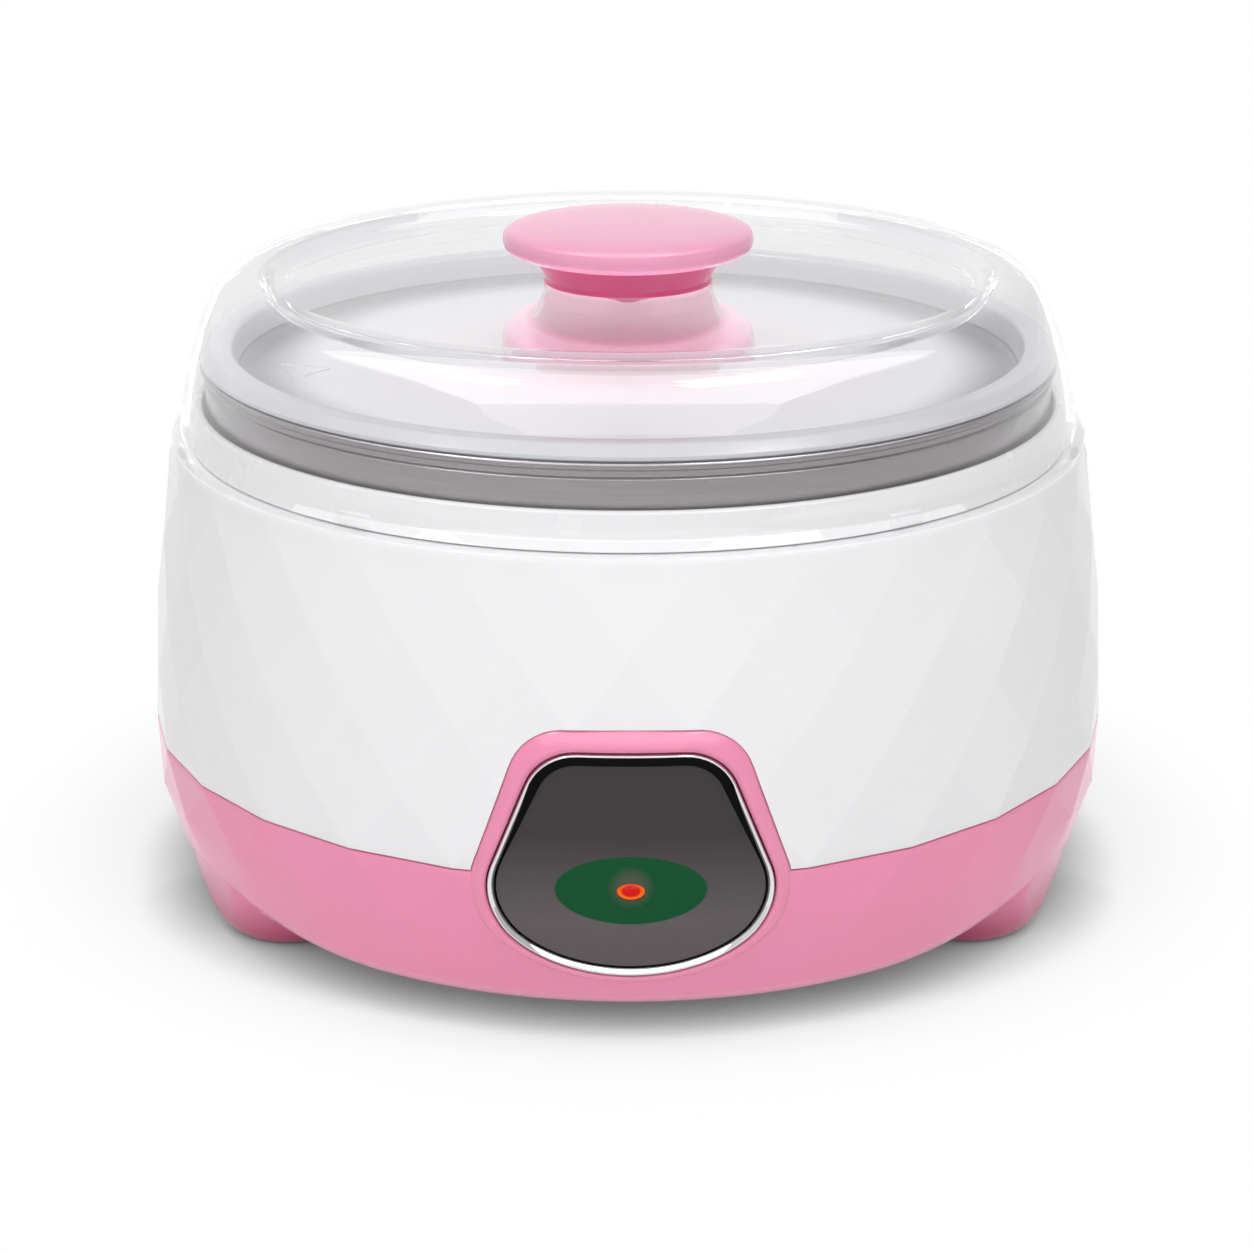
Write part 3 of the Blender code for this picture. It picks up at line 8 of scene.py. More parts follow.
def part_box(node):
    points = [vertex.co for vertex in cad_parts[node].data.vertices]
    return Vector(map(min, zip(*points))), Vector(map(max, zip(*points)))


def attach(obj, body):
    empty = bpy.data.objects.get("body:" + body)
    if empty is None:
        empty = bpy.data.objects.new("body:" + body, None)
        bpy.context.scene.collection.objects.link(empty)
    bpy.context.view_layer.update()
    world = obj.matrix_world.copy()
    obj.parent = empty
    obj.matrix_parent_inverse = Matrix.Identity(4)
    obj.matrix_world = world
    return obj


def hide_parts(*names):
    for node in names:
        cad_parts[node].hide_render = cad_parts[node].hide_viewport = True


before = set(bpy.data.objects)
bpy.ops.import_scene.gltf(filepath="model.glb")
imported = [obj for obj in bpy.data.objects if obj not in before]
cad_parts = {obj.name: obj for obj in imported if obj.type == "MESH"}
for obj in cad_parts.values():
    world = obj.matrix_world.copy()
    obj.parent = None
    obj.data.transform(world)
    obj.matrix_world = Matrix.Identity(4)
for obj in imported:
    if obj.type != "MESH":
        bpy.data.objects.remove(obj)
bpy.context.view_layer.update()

mm = 0.001
print("frame loaded with", len(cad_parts), "nodes")


# small helpers

def hexColor(code, alpha=1.0):
    channels = []
    for i in (1, 3, 5):
        c = int(code[i:i + 2], 16) / 255
        channels.append(c / 12.92 if c <= 0.04045 else ((c + 0.055) / 1.055) ** 2.4)
    return (*channels, alpha)


def perMm(size):
    return 1000 / size          # texture scale for a feature of this size in mm


def addNode(tree, kind, settings=None, links=None):
    node = tree.nodes.new("ShaderNode" + kind)
    for key, value in (settings or {}).items():
        if isinstance(key, int) or key in node.inputs:
            node.inputs[key].default_value = value
        else:
            setattr(node, key, value)
    joinNode(tree, node, links or {})
    return node


def liveOutput(source):
    # a node stands for its first live output
    if isinstance(source, bpy.types.Node):
        return next(socket for socket in source.outputs if socket.enabled)
    return source


def joinNode(tree, node, links):
    for key, source in links.items():
        tree.links.new(liveOutput(source), node.inputs[key])


def newMaterial(name, settings):
    material = bpy.data.materials.new(name)
    material.use_nodes = True
    tree = material.node_tree
    shader = tree.nodes["Principled BSDF"]
    for key, value in settings.items():
        shader.inputs[key].default_value = value
    coords = addNode(tree, "TexCoord").outputs["Object"]
    return material, tree, shader, coords


def easeCorners(points, steps=6):
    # (x, y) stays sharp, (x, y, radius) is rounded
    line = []
    last = len(points) - 1
    for i, point in enumerate(points):
        corner = Vector(point[:2])
        if len(point) == 2 or i in (0, last):
            line.append(corner)
            continue
        before = Vector(points[i - 1][:2]) - corner
        after = Vector(points[i + 1][:2]) - corner
        half = before.angle(after) / 2
        reach = min(point[2] / tan(half), before.length * 0.5, after.length * 0.5)
        centre = corner + (before.normalized() + after.normalized()).normalized() * (reach / cos(half))
        spoke = corner + before.normalized() * reach - centre
        sweep = spoke.angle_signed(corner + after.normalized() * reach - centre)
        for k in range(steps + 1):
            t = -sweep * k / steps
            turned = Vector((spoke.x * cos(t) - spoke.y * sin(t), spoke.x * sin(t) + spoke.y * cos(t)))
            line.append(centre + turned)
    return line


def smoothLine(points, steps=4):
    # curve through all the points
    line = []
    count = len(points)
    spots = [Vector(p) for p in points]
    for i in range(count - 1):
        a, b, c, d = spots[max(i - 1, 0)], spots[i], spots[i + 1], spots[min(i + 2, count - 1)]
        for k in range(steps):
            t = k / steps
            line.append((2 * b + (c - a) * t + (2 * a - 5 * b + 4 * c - d) * t ** 2
                         + (3 * b - a - 3 * c + d) * t ** 3) / 2)
    return line + [spots[-1]]


def shiftLine(points, distance):
    # parallel line, to the left of its direction where distance is positive
    moved = []
    for i, point in enumerate(points):
        normals = []
        for start, end in ((i - 1, i), (i, i + 1)):
            if start >= 0 and end < len(points):
                along = Vector(points[end]) - Vector(points[start])
                normals.append(Vector((-along.y, along.x)).normalized())
        mean = sum(normals, Vector((0, 0))).normalized()
        moved.append(Vector(point) + mean * (distance / mean.dot(normals[0])))
    return moved


def spinProfile(profile, steps, closed=False):
    # profile of (radius, height) in mm turned about the vertical axis
    bm = bmesh.new()
    verts = [bm.verts.new((p[0] * mm, 0, p[1] * mm)) for p in profile]
    edges = [bm.edges.new(pair) for pair in zip(verts, verts[1:])]
    if closed:
        edges.append(bm.edges.new((verts[-1], verts[0])))
    bmesh.ops.spin(bm, geom=verts + edges, cent=(0, 0, 0), axis=(0, 0, 1), angle=2 * pi, steps=steps,
                   use_merge=True)
    bmesh.ops.remove_doubles(bm, verts=bm.verts, dist=1e-7)
    bmesh.ops.recalc_face_normals(bm, faces=bm.faces)
    return bm


def turnVerts(bm, verts, angle, axis="Z"):
    bmesh.ops.rotate(bm, cent=(0, 0, 0), matrix=Matrix.Rotation(angle, 3, axis), verts=verts)


def moveBmesh(bm, place, turn=0.0):
    turnVerts(bm, bm.verts, turn)
    bmesh.ops.translate(bm, vec=place, verts=bm.verts)


def around(radius, degrees, z=0.0):
    angle = radians(degrees)        # 0 at the front, turning to the right
    return Vector((radius * sin(angle), -radius * cos(angle), z)) * mm


def newObject(name, bm):
    mesh = bpy.data.meshes.new(name)
    bm.to_mesh(mesh)
    bm.free()
    item = bpy.data.objects.new(name, mesh)
    bpy.context.scene.collection.objects.link(item)
    return item


def addPiece(name, bm, body, material, sharp=35.0, replaced=()):
    piece = newObject(name, bm)
    piece.data.shade_smooth()
    if sharp:
        piece.data.set_sharp_from_angle(angle=radians(sharp))
    piece.data.materials.append(material)
    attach(piece, body)
    if replaced:
        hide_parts(*replaced)
    return piece


def markRims(bm, degrees=40.0):
    # keep the edges of rims and cut-outs crisp beside the facet lines
    for e in bm.edges:
        if len(e.link_faces) == 2 and e.calc_face_angle() > radians(degrees):
            e.smooth = False


def carve(bm, cutters):
    # the mesh with each cutter taken out of it
    target = newObject("cutter", bm)
    holders = [newObject("cutter", cutter) for cutter in cutters]
    for holder in holders:
        step = target.modifiers.new("carve", "BOOLEAN")
        step.object = holder
        step.operation = "DIFFERENCE"
        step.solver = "EXACT"
    bpy.context.view_layer.update()
    graph = bpy.context.evaluated_depsgraph_get()
    mesh = bpy.data.meshes.new_from_object(target.evaluated_get(graph))
    result = bmesh.new()
    result.from_mesh(mesh)
    bpy.data.meshes.remove(mesh)
    for holder in holders + [target]:
        bpy.data.objects.remove(holder, do_unlink=True)
    return result


# materials

def newFinish(name, settings, tones, gloss, bump=None):
    # two tones, a range of gloss and a bump, whose ends wait for the patterns that drive them
    material, tree, shader, coords = newMaterial(name, settings)
    tint = addNode(tree, "Mix", {"data_type": "RGBA", 6: hexColor(tones[0]), 7: hexColor(tones[1])})
    shine = addNode(tree, "MapRange",
                    {"From Min": 0.3, "From Max": 0.7, "To Min": gloss[0], "To Max": gloss[1]})
    joinNode(tree, shader, {"Base Color": tint, "Roughness": shine})
    ends = [tint.inputs[0], shine.inputs["Value"]]
    if bump:
        relief = addNode(tree, "Bump", {"Strength": bump[0], "Distance": bump[1] * mm})
        joinNode(tree, shader, {"Normal": relief})
        ends.append(relief.inputs["Height"])
    return material, tree, coords, ends


def feed(tree, ends, *patterns):
    for end, pattern in zip(ends, patterns):
        tree.links.new(liveOutput(pattern), end)


def axisDistance(tree, coords):
    flat = addNode(tree, "VectorMath", {"operation": "MULTIPLY", 1: (1.0, 1.0, 0.0)}, {0: coords})
    return addNode(tree, "VectorMath", {"operation": "LENGTH"}, {0: flat})


def ovalDistance(tree, coords, oval):
    # 0 in the middle of an oval on the front, 1 along its edge
    settings = {"vector_type": "TEXTURE", "Location": (0, 0, oval["height"] * mm),
                "Scale": (oval["halfWidth"] * mm, 1e6, oval["halfHeight"] * mm)}
    place = addNode(tree, "Mapping", settings, {"Vector": coords})
    return addNode(tree, "VectorMath", {"operation": "LENGTH"}, {0: place})


def moldedAbs(name, tones, rough):
    # gloss moulded ABS: near even colour, a faint flow mottle, and slow mould ripples in the gloss
    gloss = (rough - 0.03, rough + 0.03)
    material, tree, coords, ends = newFinish(name, {"IOR": 1.53}, tones, gloss, (0.6, 0.03))
    patterns = []
    for size, detail in ((38, 3.0), (9, 4.0), (16, 1.0)):        # flow, wiped gloss, ripple
        noise = addNode(tree, "TexNoise", {"Scale": perMm(size), "Detail": detail}, {"Vector": coords})
        patterns.append(noise)
    feed(tree, ends, *patterns)
    return material


def pinkAbsPaintedShade(name, tones, shadeHeights, shadeCore, glow):
    # pink ABS of the knob and feet: glossy, with light glowing through where asked, and a painted shade that
    # makes it deeper pink low down within the core
    settings = {"IOR": 1.53, "Subsurface Weight": glow, "Subsurface Radius": (1.0, 0.15, 0.4),
                "Subsurface Scale": 14 * mm}
    material, tree, coords, ends = newFinish(name, settings, tones, (0.11, 0.17), (0.5, 0.02))
    parts = addNode(tree, "SeparateXYZ", {}, {"Vector": coords})
    low, high = shadeHeights
    # painted shade: the deeper tone below these heights and inside the core's radius
    upward = addNode(tree, "MapRange",
                     {"interpolation_type": "SMOOTHSTEP", "From Min": low * mm, "From Max": high * mm},
                     {"Value": parts.outputs["Z"]})
    outward = addNode(tree, "MapRange", {"From Min": shadeCore * mm, "From Max": (shadeCore + 1) * mm},
                      {"Value": axisDistance(tree, coords)})
    unshaded = addNode(tree, "Math", {"operation": "MAXIMUM"}, {0: upward, 1: outward})
    flow = addNode(tree, "TexNoise", {"Scale": perMm(20), "Detail": 3.0}, {"Vector": coords})
    uneven = addNode(tree, "MapRange", {"To Min": -0.05, "To Max": 0.05}, {"Value": flow})
    share = addNode(tree, "Math", {"operation": "ADD"}, {0: unshaded, 1: uneven})
    feed(tree, ends, share, flow, flow)
    return material


def clearStyrene(name, coat):
    # injection moulded clear polystyrene: polished, faintly grey, with a few fine rub marks in the gloss
    # a low index keeps the thin wall from bending the view, and the coat gives the gloss of the real index
    settings = {"Base Color": hexColor("#f5f5f6"), "Transmission Weight": 1.0, "IOR": 1.01,
                "Coat Weight": coat, "Coat Roughness": 0.02, "Coat IOR": 1.55}
    material, tree, shader, coords = newMaterial(name, settings)
    rub = addNode(tree, "TexNoise", {"Scale": perMm(9), "Detail": 5.0}, {"Vector": coords})
    gloss = addNode(tree, "MapRange", {"From Min": 0.5, "From Max": 0.8, "To Min": 0.01, "To Max": 0.05},
                    {"Value": rub})
    wave = addNode(tree, "TexNoise", {"Scale": perMm(24), "Detail": 1.0}, {"Vector": coords})
    bump = addNode(tree, "Bump", {"Strength": 0.4, "Distance": 0.01 * mm}, {"Height": wave})
    joinNode(tree, shader, {"Roughness": gloss, "Normal": bump})
    return material


def naturalPolypropylene(name, tones, clear, fade):
    # natural polypropylene: milky, soft gloss, with a moulded haze, and another tone past the fade
    settings = {"Transmission Weight": clear, "IOR": 1.49}
    material, tree, coords, ends = newFinish(name, settings, tones, (0.14, 0.2), (0.5, 0.02))
    near, far = fade
    outward = addNode(tree, "MapRange",
                      {"interpolation_type": "SMOOTHSTEP", "From Min": near * mm, "From Max": far * mm},
                      {"Value": axisDistance(tree, coords)})
    haze = addNode(tree, "TexNoise", {"Scale": perMm(14), "Detail": 4.0}, {"Vector": coords})
    uneven = addNode(tree, "MapRange", {"To Min": -0.08, "To Max": 0.08}, {"Value": haze})
    share = addNode(tree, "Math", {"operation": "ADD"}, {0: outward, 1: uneven})
    wave = addNode(tree, "TexNoise", {"Scale": perMm(20), "Detail": 1.0}, {"Vector": coords})
    feed(tree, ends, share, haze, wave)
    return material


def brushedMetal(name, tones, rough, lineMm):
    # spun and brushed metal: fine lines run round the axis, drawn coarser than the real ones to show
    material, tree, coords, ends = newFinish(name, {"Metallic": 1.0}, tones, (rough - 0.06, rough + 0.07))
    stretch = addNode(tree, "Mapping", {"Scale": (0.02, 0.02, 1.0)}, {"Vector": coords})
    lines = addNode(tree, "TexNoise", {"Scale": perMm(lineMm), "Detail": 4.0}, {"Vector": stretch})
    feed(tree, ends, lines, lines)
    return material


def chromePlate():
    # bright chrome on moulded ABS: mirror gloss with a faint polishing haze
    tones = ("#d6d7da", "#ebecec")
    material, tree, coords, ends = newFinish("chromePlate", {"Metallic": 1.0}, tones, (0.04, 0.09))
    haze = addNode(tree, "TexNoise", {"Scale": perMm(4), "Detail": 5.0}, {"Vector": coords})
    feed(tree, ends, haze, haze)
    return material


def smokedAcrylic(oval, halo):
    # smoked acrylic: dark grey, paler towards its foot, back printed with a plain green oval round the lamp
    settings = {"IOR": 1.49, "Roughness": 0.12, "Specular IOR Level": 0.12}
    material, tree, shader, coords = newMaterial("smokedAcrylic", settings)
    inside = addNode(tree, "MapRange", {"From Min": 0.97, "From Max": 1.0, "To Min": 1.0, "To Max": 0.0},
                     {"Value": ovalDistance(tree, coords, oval)})
    parts = addNode(tree, "SeparateXYZ", {}, {"Vector": coords})
    fade = addNode(tree, "MapRange", {"From Min": 27 * mm, "From Max": 43 * mm}, {"Value": parts.outputs["Z"]})
    smoke = addNode(tree, "Mix", {"data_type": "RGBA", 6: hexColor("#625c5e"), 7: hexColor("#403d3d")},
                    {0: fade})
    speck = addNode(tree, "TexNoise", {"Scale": perMm(0.5), "Detail": 3.0}, {"Vector": coords})
    inked = addNode(tree, "Mix", {"data_type": "RGBA", 6: hexColor("#074826"), 7: hexColor("#0b5530")},
                    {0: speck})
    paint = addNode(tree, "Mix", {"data_type": "RGBA"}, {0: inside, 6: smoke, 7: inked})
    thin = addNode(tree, "MapRange",
                   {"From Min": 0.45, "From Max": 1.0, "To Min": 0.8, "To Max": 0.0},
                   {"Value": ovalDistance(tree, coords, halo)})        # ink left thin round the lamp
    faded = addNode(tree, "Mix", {"data_type": "RGBA", 7: hexColor("#56554f")}, {0: thin, 6: paint})
    joinNode(tree, shader, {"Base Color": faded})
    return material


def lampRed(oval):
    # tinted lamp lens, lit from behind: deep red middle and a hot orange edge
    settings = {"Base Color": hexColor("#5a0a04"), "IOR": 1.5, "Roughness": 0.25, "Specular IOR Level": 0.12,
                "Emission Strength": 0.9}
    material, tree, shader, coords = newMaterial("litRedLens", settings)
    edge = addNode(tree, "MapRange", {"From Min": 0.6, "From Max": 0.78},
                   {"Value": ovalDistance(tree, coords, oval)})
    glow = addNode(tree, "Mix", {"data_type": "RGBA", 6: hexColor("#c80d08"), 7: hexColor("#f56a12")},
                   {0: edge})
    joinNode(tree, shader, {"Emission Color": glow})
    return material


def fineGrain(name, tones, rough, grainMm, depthMm, metal=0.0, shine=0.5):
    # plain finish of a small piece: two close tones and a fine grain in the gloss
    settings = {"Metallic": metal, "Specular IOR Level": shine}
    gloss = (rough - 0.06, rough + 0.06)
    material, tree, coords, ends = newFinish(name, settings, tones, gloss, (1.0, depthMm))
    grain = addNode(tree, "TexNoise", {"Scale": perMm(grainMm), "Detail": 4.0}, {"Vector": coords})
    feed(tree, ends, grain, grain, grain)
    return material


whiteAbs = moldedAbs("glossWhiteAbs", ("#ecebed", "#f0eff1"), 0.16)
wellAbs = moldedAbs("whiteWellAbs", ("#efeff0", "#f2f2f3"), 0.26)
pinkAbs = moldedAbs("pinkAbs", ("#ec8aae", "#ef90b3"), 0.14)
# painted shade: deeper pink under the knob's brim and round its neck, and low on the feet towards the floor
knobAbs = pinkAbsPaintedShade("translucentPinkAbsPaintedShade", ("#c04b78", "#e69fbc"), (126.2, 127.2), 19.0, 0.15)
footAbs = pinkAbsPaintedShade("pinkAbsPaintedFootShade", ("#b8446f", "#ea8bae"), (0.0, 17.0), 200.0, 0.0)
lidClear = clearStyrene("clearStyrene", 1.0)
plateClear = clearStyrene("clearStyrenePlate", 0.85)        # the flat middle mirrors less
lidMilky = naturalPolypropylene("naturalPolypropylene", ("#d6d6db", "#dcdce1"), 0.2, (78, 82))
lidWeb = naturalPolypropylene("polypropyleneWebPaintedShade", ("#f0f0f3", "#8c8c90"), 0.05, (60, 74))    # middle web: pale, greyed towards the crown by a painted shade
potSteel = brushedMetal("brushedStainless", ("#9a9698", "#a29ea0"), 0.2, 0.5)
bezelChrome = chromePlate()
platedSteel = fineGrain("zincPlatedSteel", ("#9f9f9b", "#b9b9b4"), 0.3, 0.6, 0.01, 1.0)
socketNylon = fineGrain("blackNylon", ("#161616", "#202020"), 0.42, 0.5, 0.02)
print("main materials made")


# body outline shared by shell, base and panel, in mm

bodyForm = {"facets": 28, "rows": 4, "step": 13.4, "seam": 35.2, "top": 92.2, "topRadius": 89.2,
            "bulge": 347.0, "bulgeHeight": 30.0, "creaseRadius": 90.02, "creaseHeight": 11.4,
            "baseRow": 24.5, "baseRowInset": 0.6}


def bulgeDrop(z):
    return bodyForm["bulge"] - sqrt(bodyForm["bulge"] ** 2 - (z - bodyForm["bulgeHeight"]) ** 2)


widest = bodyForm["topRadius"] + bulgeDrop(bodyForm["top"])


def bodyRadius(z):
    if z >= bodyForm["seam"]:
        return widest - bulgeDrop(z)
    rowRadius = widest - bodyForm["baseRowInset"]
    if z >= bodyForm["baseRow"]:
        share = (z - bodyForm["baseRow"]) / (bodyForm["seam"] - bodyForm["baseRow"])
        return rowRadius + share * (widest - bulgeDrop(bodyForm["seam"]) - rowRadius)
    share = (z - bodyForm["creaseHeight"]) / (bodyForm["baseRow"] - bodyForm["creaseHeight"])
    return bodyForm["creaseRadius"] + share * (rowRadius - bodyForm["creaseRadius"])


def ringVerts(bm, radius, z):
    # ring of facet corners, the first one half a facet from the front
    made = bmesh.ops.create_circle(bm, segments=bodyForm["facets"], radius=radius * mm)["verts"]
    first = made[0].co
    aim = Vector((0, -1)).angle_signed(Vector((first.x, first.y)))
    turnVerts(bm, made, aim + pi / bodyForm["facets"])
    bmesh.ops.translate(bm, vec=(0, 0, z * mm), verts=made)
    return made


def drawEdges(bm, edges):
    # new wall off open edges: its free edges, its new corners and its faces
    drawn = bmesh.ops.extrude_edge_only(bm, edges=edges)["geom"]
    kinds = (bmesh.types.BMEdge, bmesh.types.BMVert, bmesh.types.BMFace)
    ends, verts, faces = [[g for g in drawn if isinstance(g, kind)] for kind in kinds]
    fresh = set(verts)
    return [e for e in ends if set(e.verts) <= fresh], verts, faces


def liftRing(bm, edges, radius, z, turn=0.0):
    # next ring of the wall: the open edges drawn to a new radius and height
    ends, verts, faces = drawEdges(bm, edges)
    turnVerts(bm, verts, turn)
    for v in verts:
        flat = Vector((v.co.x, v.co.y)).normalized() * radius * mm
        v.co = (flat.x, flat.y, z * mm)
    return ends, faces


def facetWall(bm, start, rows, cuts):
    # diamonds between rings of corners; each ring is turned half a facet from the one before
    edges = list({e for v in start for e in v.link_edges})
    ringEdges = [set(edges)]
    halfTurn = pi / bodyForm["facets"]
    for radius, z in rows:
        edges, faces = liftRing(bm, edges, radius, z, halfTurn)
        bmesh.ops.triangulate(bm, faces=faces, quad_method="SHORT_EDGE")
        ringEdges.append(set(edges))
    inner = [e for ring in ringEdges[1:-1] for e in ring]
    outerEdges = ringEdges[0] | ringEdges[-1]
    for e in bm.edges:
        e.smooth = e in outerEdges or e in inner
    bmesh.ops.dissolve_edges(bm, edges=inner, use_verts=False)
    bmesh.ops.subdivide_edges(bm, edges=bm.edges, cuts=cuts, use_grid_fill=True)


def openEdges(bm, low):
    # rim edges of the wall at its lower or upper end
    rim = [e for e in bm.edges if len(e.link_faces) == 1]
    middle = sum(e.verts[0].co.z for e in rim) / len(rim)
    return [e for e in rim if (e.verts[0].co.z < middle) == low]


def insetRings(bm, edges, steps):
    # rings that follow the facets: each is drawn in by so much and set at a height
    for inset, z in steps:
        edges, verts, _ = drawEdges(bm, edges)
        for v in verts:
            flat = Vector((v.co.x, v.co.y))
            flat *= 1 - inset * mm / flat.length
            v.co = (flat.x, flat.y, z * mm)
    return edges


def drawRings(bm, edges, rings):
    for radius, z in rings:
        edges = liftRing(bm, edges, radius, z)[0]
    return edges


# panel outlines, seen from the front, in mm

panelForm = {"centre": 32.8,
             "bezel": {"halfWidth": 25.3, "drop": 17.1, "top": 58.5, "lean": 0.40, "corner": 9.7},
             "frame": {"halfWidth": 28.4, "drop": 19.0, "top": 62.6, "lean": 0.355, "corner": 10.5}}


def shieldOutline(form, grow=0.0, steps=112):
    # even points along the outline, from the middle of the straight top, going right
    width, drop = form["halfWidth"] + grow, form["drop"] + grow
    top, corner = form["top"] + grow, max(form["corner"] + grow, 0.5)
    start = atan(form["lean"] * drop / width)
    side = (width * cos(start), panelForm["centre"] + drop * sin(start))
    shoulder = (side[0] - form["lean"] * (top - side[1]), top, corner)
    half = easeCorners([(0, top), shoulder, side], 10)
    for k in range(1, 41):
        angle = start - (pi / 2 + start) * k / 40
        half.append(Vector((width * cos(angle), panelForm["centre"] + drop * sin(angle))))
    whole = half + [Vector((-p.x, p.y)) for p in reversed(half[:-1])]
    lengths = [0.0]
    for a, b in zip(whole, whole[1:]):
        lengths.append(lengths[-1] + (b - a).length)
    points = []
    j = 0
    for k in range(steps):
        goal = lengths[-1] * k / steps
        while lengths[j + 1] < goal:
            j += 1
        share = (goal - lengths[j]) / max(lengths[j + 1] - lengths[j], 1e-9)
        points.append(whole[j].lerp(whole[j + 1], share))
    return points


def onBody(point, rise):
    # a front outline point laid on the body's side, raised by rise
    radius = bodyRadius(point.y) + rise
    return Vector((point.x, -sqrt(radius ** 2 - point.x ** 2), point.y)) * mm


def sweepLoops(loops, closed=True):
    # skin over loops of equal count, bridged one after the other
    bm = bmesh.new()
    rings = []
    for loop in loops:
        verts = [bm.verts.new(p) for p in loop]
        rings.append([bm.edges.new((verts[i], verts[(i + 1) % len(verts)])) for i in range(len(verts))])
    pairs = list(zip(rings, rings[1:]))
    if closed:
        pairs.append((rings[-1], rings[0]))
    for a, b in pairs:
        bmesh.ops.bridge_loops(bm, edges=a + b)
    bmesh.ops.recalc_face_normals(bm, faces=bm.faces)
    return bm


def frontPrism(outline, near, far):
    bm = sweepLoops([[Vector((p.x, -y, p.y)) * mm for p in outline] for y in (near, far)], closed=False)
    bmesh.ops.holes_fill(bm, edges=bm.edges, sides=0)
    bmesh.ops.recalc_face_normals(bm, faces=bm.faces)
    return bm


def panelNotch(notch):
    return frontPrism(shieldOutline(panelForm["frame"], notch["grow"]), notch["near"], notch["far"])


# shell

shellForm = {"wall": 2.4, "ledgeHole": 84.9, "cuts": 7, "edgeRound": 0.7, "gap": 0.15, "lead": 0.4,
             "inside": (75, 55), "foot": [(0.08, 0.15), (0.2, 0.05), (0.2, 0)],
             "notch": {"grow": 0.1, "near": 60, "far": 110}}


def makeShell():
    form = shellForm
    bm = bmesh.new()
    seam = bodyForm["seam"] + form["gap"]
    lead = seam + form["lead"]
    start = ringVerts(bm, bodyRadius(lead), lead)
    rows = []
    for i in range(1, bodyForm["rows"] + 1):
        z = bodyForm["seam"] + bodyForm["step"] * i
        rows.append((bodyRadius(z), z))
    facetWall(bm, start, rows, form["cuts"])
    top, rim = bodyForm["top"], bodyForm["topRadius"]
    soft, hole, wall = form["edgeRound"], form["ledgeHole"], form["wall"]
    upper = [(rim + 0.05, top - soft * 1.4), (rim, top - soft), (rim - soft * 0.3, top - soft * 0.3),
             (rim - soft, top), (hole, top), (hole, top - wall)]
    for z in (top - wall, *form["inside"], seam):
        upper.append((bodyRadius(z) - wall, z))
    foot = insetRings(bm, openEdges(bm, True), [(inset, seam + rise) for inset, rise in form["foot"]])
    edges = drawRings(bm, openEdges(bm, False), upper)
    bmesh.ops.bridge_loops(bm, edges=edges + foot)
    bmesh.ops.recalc_face_normals(bm, faces=bm.faces)
    bm = carve(bm, [panelNotch(form["notch"])])
    markRims(bm)
    addPiece("facetedShell", bm, "housing", whiteAbs, None, ["upper_housing"])


makeShell()
print("shell made")


# base with its feet and the panel frame

baseForm = {"footRise": 5.0, "footFlare": 0.32, "wall": 2.4, "under": 4.6, "tuckRadius": 75.92, "hub": 2.0,
            "cuts": 7, "lead": 0.6, "seamEdge": [(0.06, -0.35), (0.16, -0.12), (0.34, 0)],
            "tuck": [(90.02, 11.4), (88.2, 9.4), (86.0, 7.9), (83.0, 6.5), (80.0, 5.4), (75.92, 4.6)],
            "creaseLip": (0.12, 0.35), "lip": (92.1, 90.4, 38.7), "inletRoom": 0.6,
            "notch": {"grow": -0.6, "near": 84, "far": 110}}
footForm = {"angles": (-63, 63, 180), "circle": 74.02, "reach": 32.0, "head": (15.0, 13.0), "low": 0.8,
            "side": [(19.6, 17.0), (19.2, 13.0), (17.4, 8.6), (15.0, 4.6), (13.4, 2.4), (11.6, 0.8)],
            "pocket": (8.1, 2.1), "outerRadius": 90.0, "outerHeight": 10.0, "outerSlope": 0.22}
padForm = {"radius": 7.8, "height": 1.8, "groove": [(0.62, 0), (0.58, 0.4), (0.5, 0.4), (0.46, 0)]}
inletForm = {"height": 23.3, "face": 89.52, "gap": 0.3, "flange": (26.0, 14.0, 1.5), "corner": 2.6,
             "soft": 0.5, "body": (20.0, 10.0, 13.0), "bodyCorner": 1.2, "slot": (14.6, 7.2, 11.0),
             "mouth": (16.6, 9.2, 0.5), "pinHole": (4.3, 1.5)}
screwForm = {"circle": 58.0, "angles": (0, 120, -120), "seat": 9.1, "bore": 1.8, "head": 3.4, "deep": 20}


def boxMesh(size, centre):
    bm = bmesh.new()
    bmesh.ops.create_cube(bm, size=1.0)
    bmesh.ops.scale(bm, vec=Vector(size) * mm, verts=bm.verts)
    bmesh.ops.translate(bm, vec=Vector(centre) * mm, verts=bm.verts)
    return bm


def softenEdges(bm, edges, width, steps):
    bmesh.ops.bevel(bm, geom=edges, offset=width * mm, offset_type="OFFSET", segments=steps, profile=0.5,
                    affect="EDGES", material=-1)


def roundedBox(size, centre, corner, soft=0.0):
    # plate facing the back with rounded corners, and softened edges where asked
    bm = boxMesh(size, centre)
    softenEdges(bm, [e for e in bm.edges if abs(e.verts[0].co.y - e.verts[1].co.y) > 1e-6], corner, 8)
    if soft:
        back = max(v.co.y for v in bm.verts)
        softenEdges(bm, [e for e in bm.edges if min(v.co.y for v in e.verts) > back - 1e-6], soft, 3)
    return bm


def roundSlot(width, depth, height, y, z):
    return roundedBox((width, depth, height), (0, y, z), height / 2 - 0.05)


def nearFoot(spot):
    # 1 over the middle of a foot, falling to 0 at the foot's reach on either side
    share = 0.0
    for angle in footForm["angles"]:
        away = around(1.0, angle).angle(Vector((spot.x, spot.y, 0.0)))
        if away < radians(footForm["reach"]):
            share = cos(pi / 2 * away / radians(footForm["reach"])) ** 2
    return share


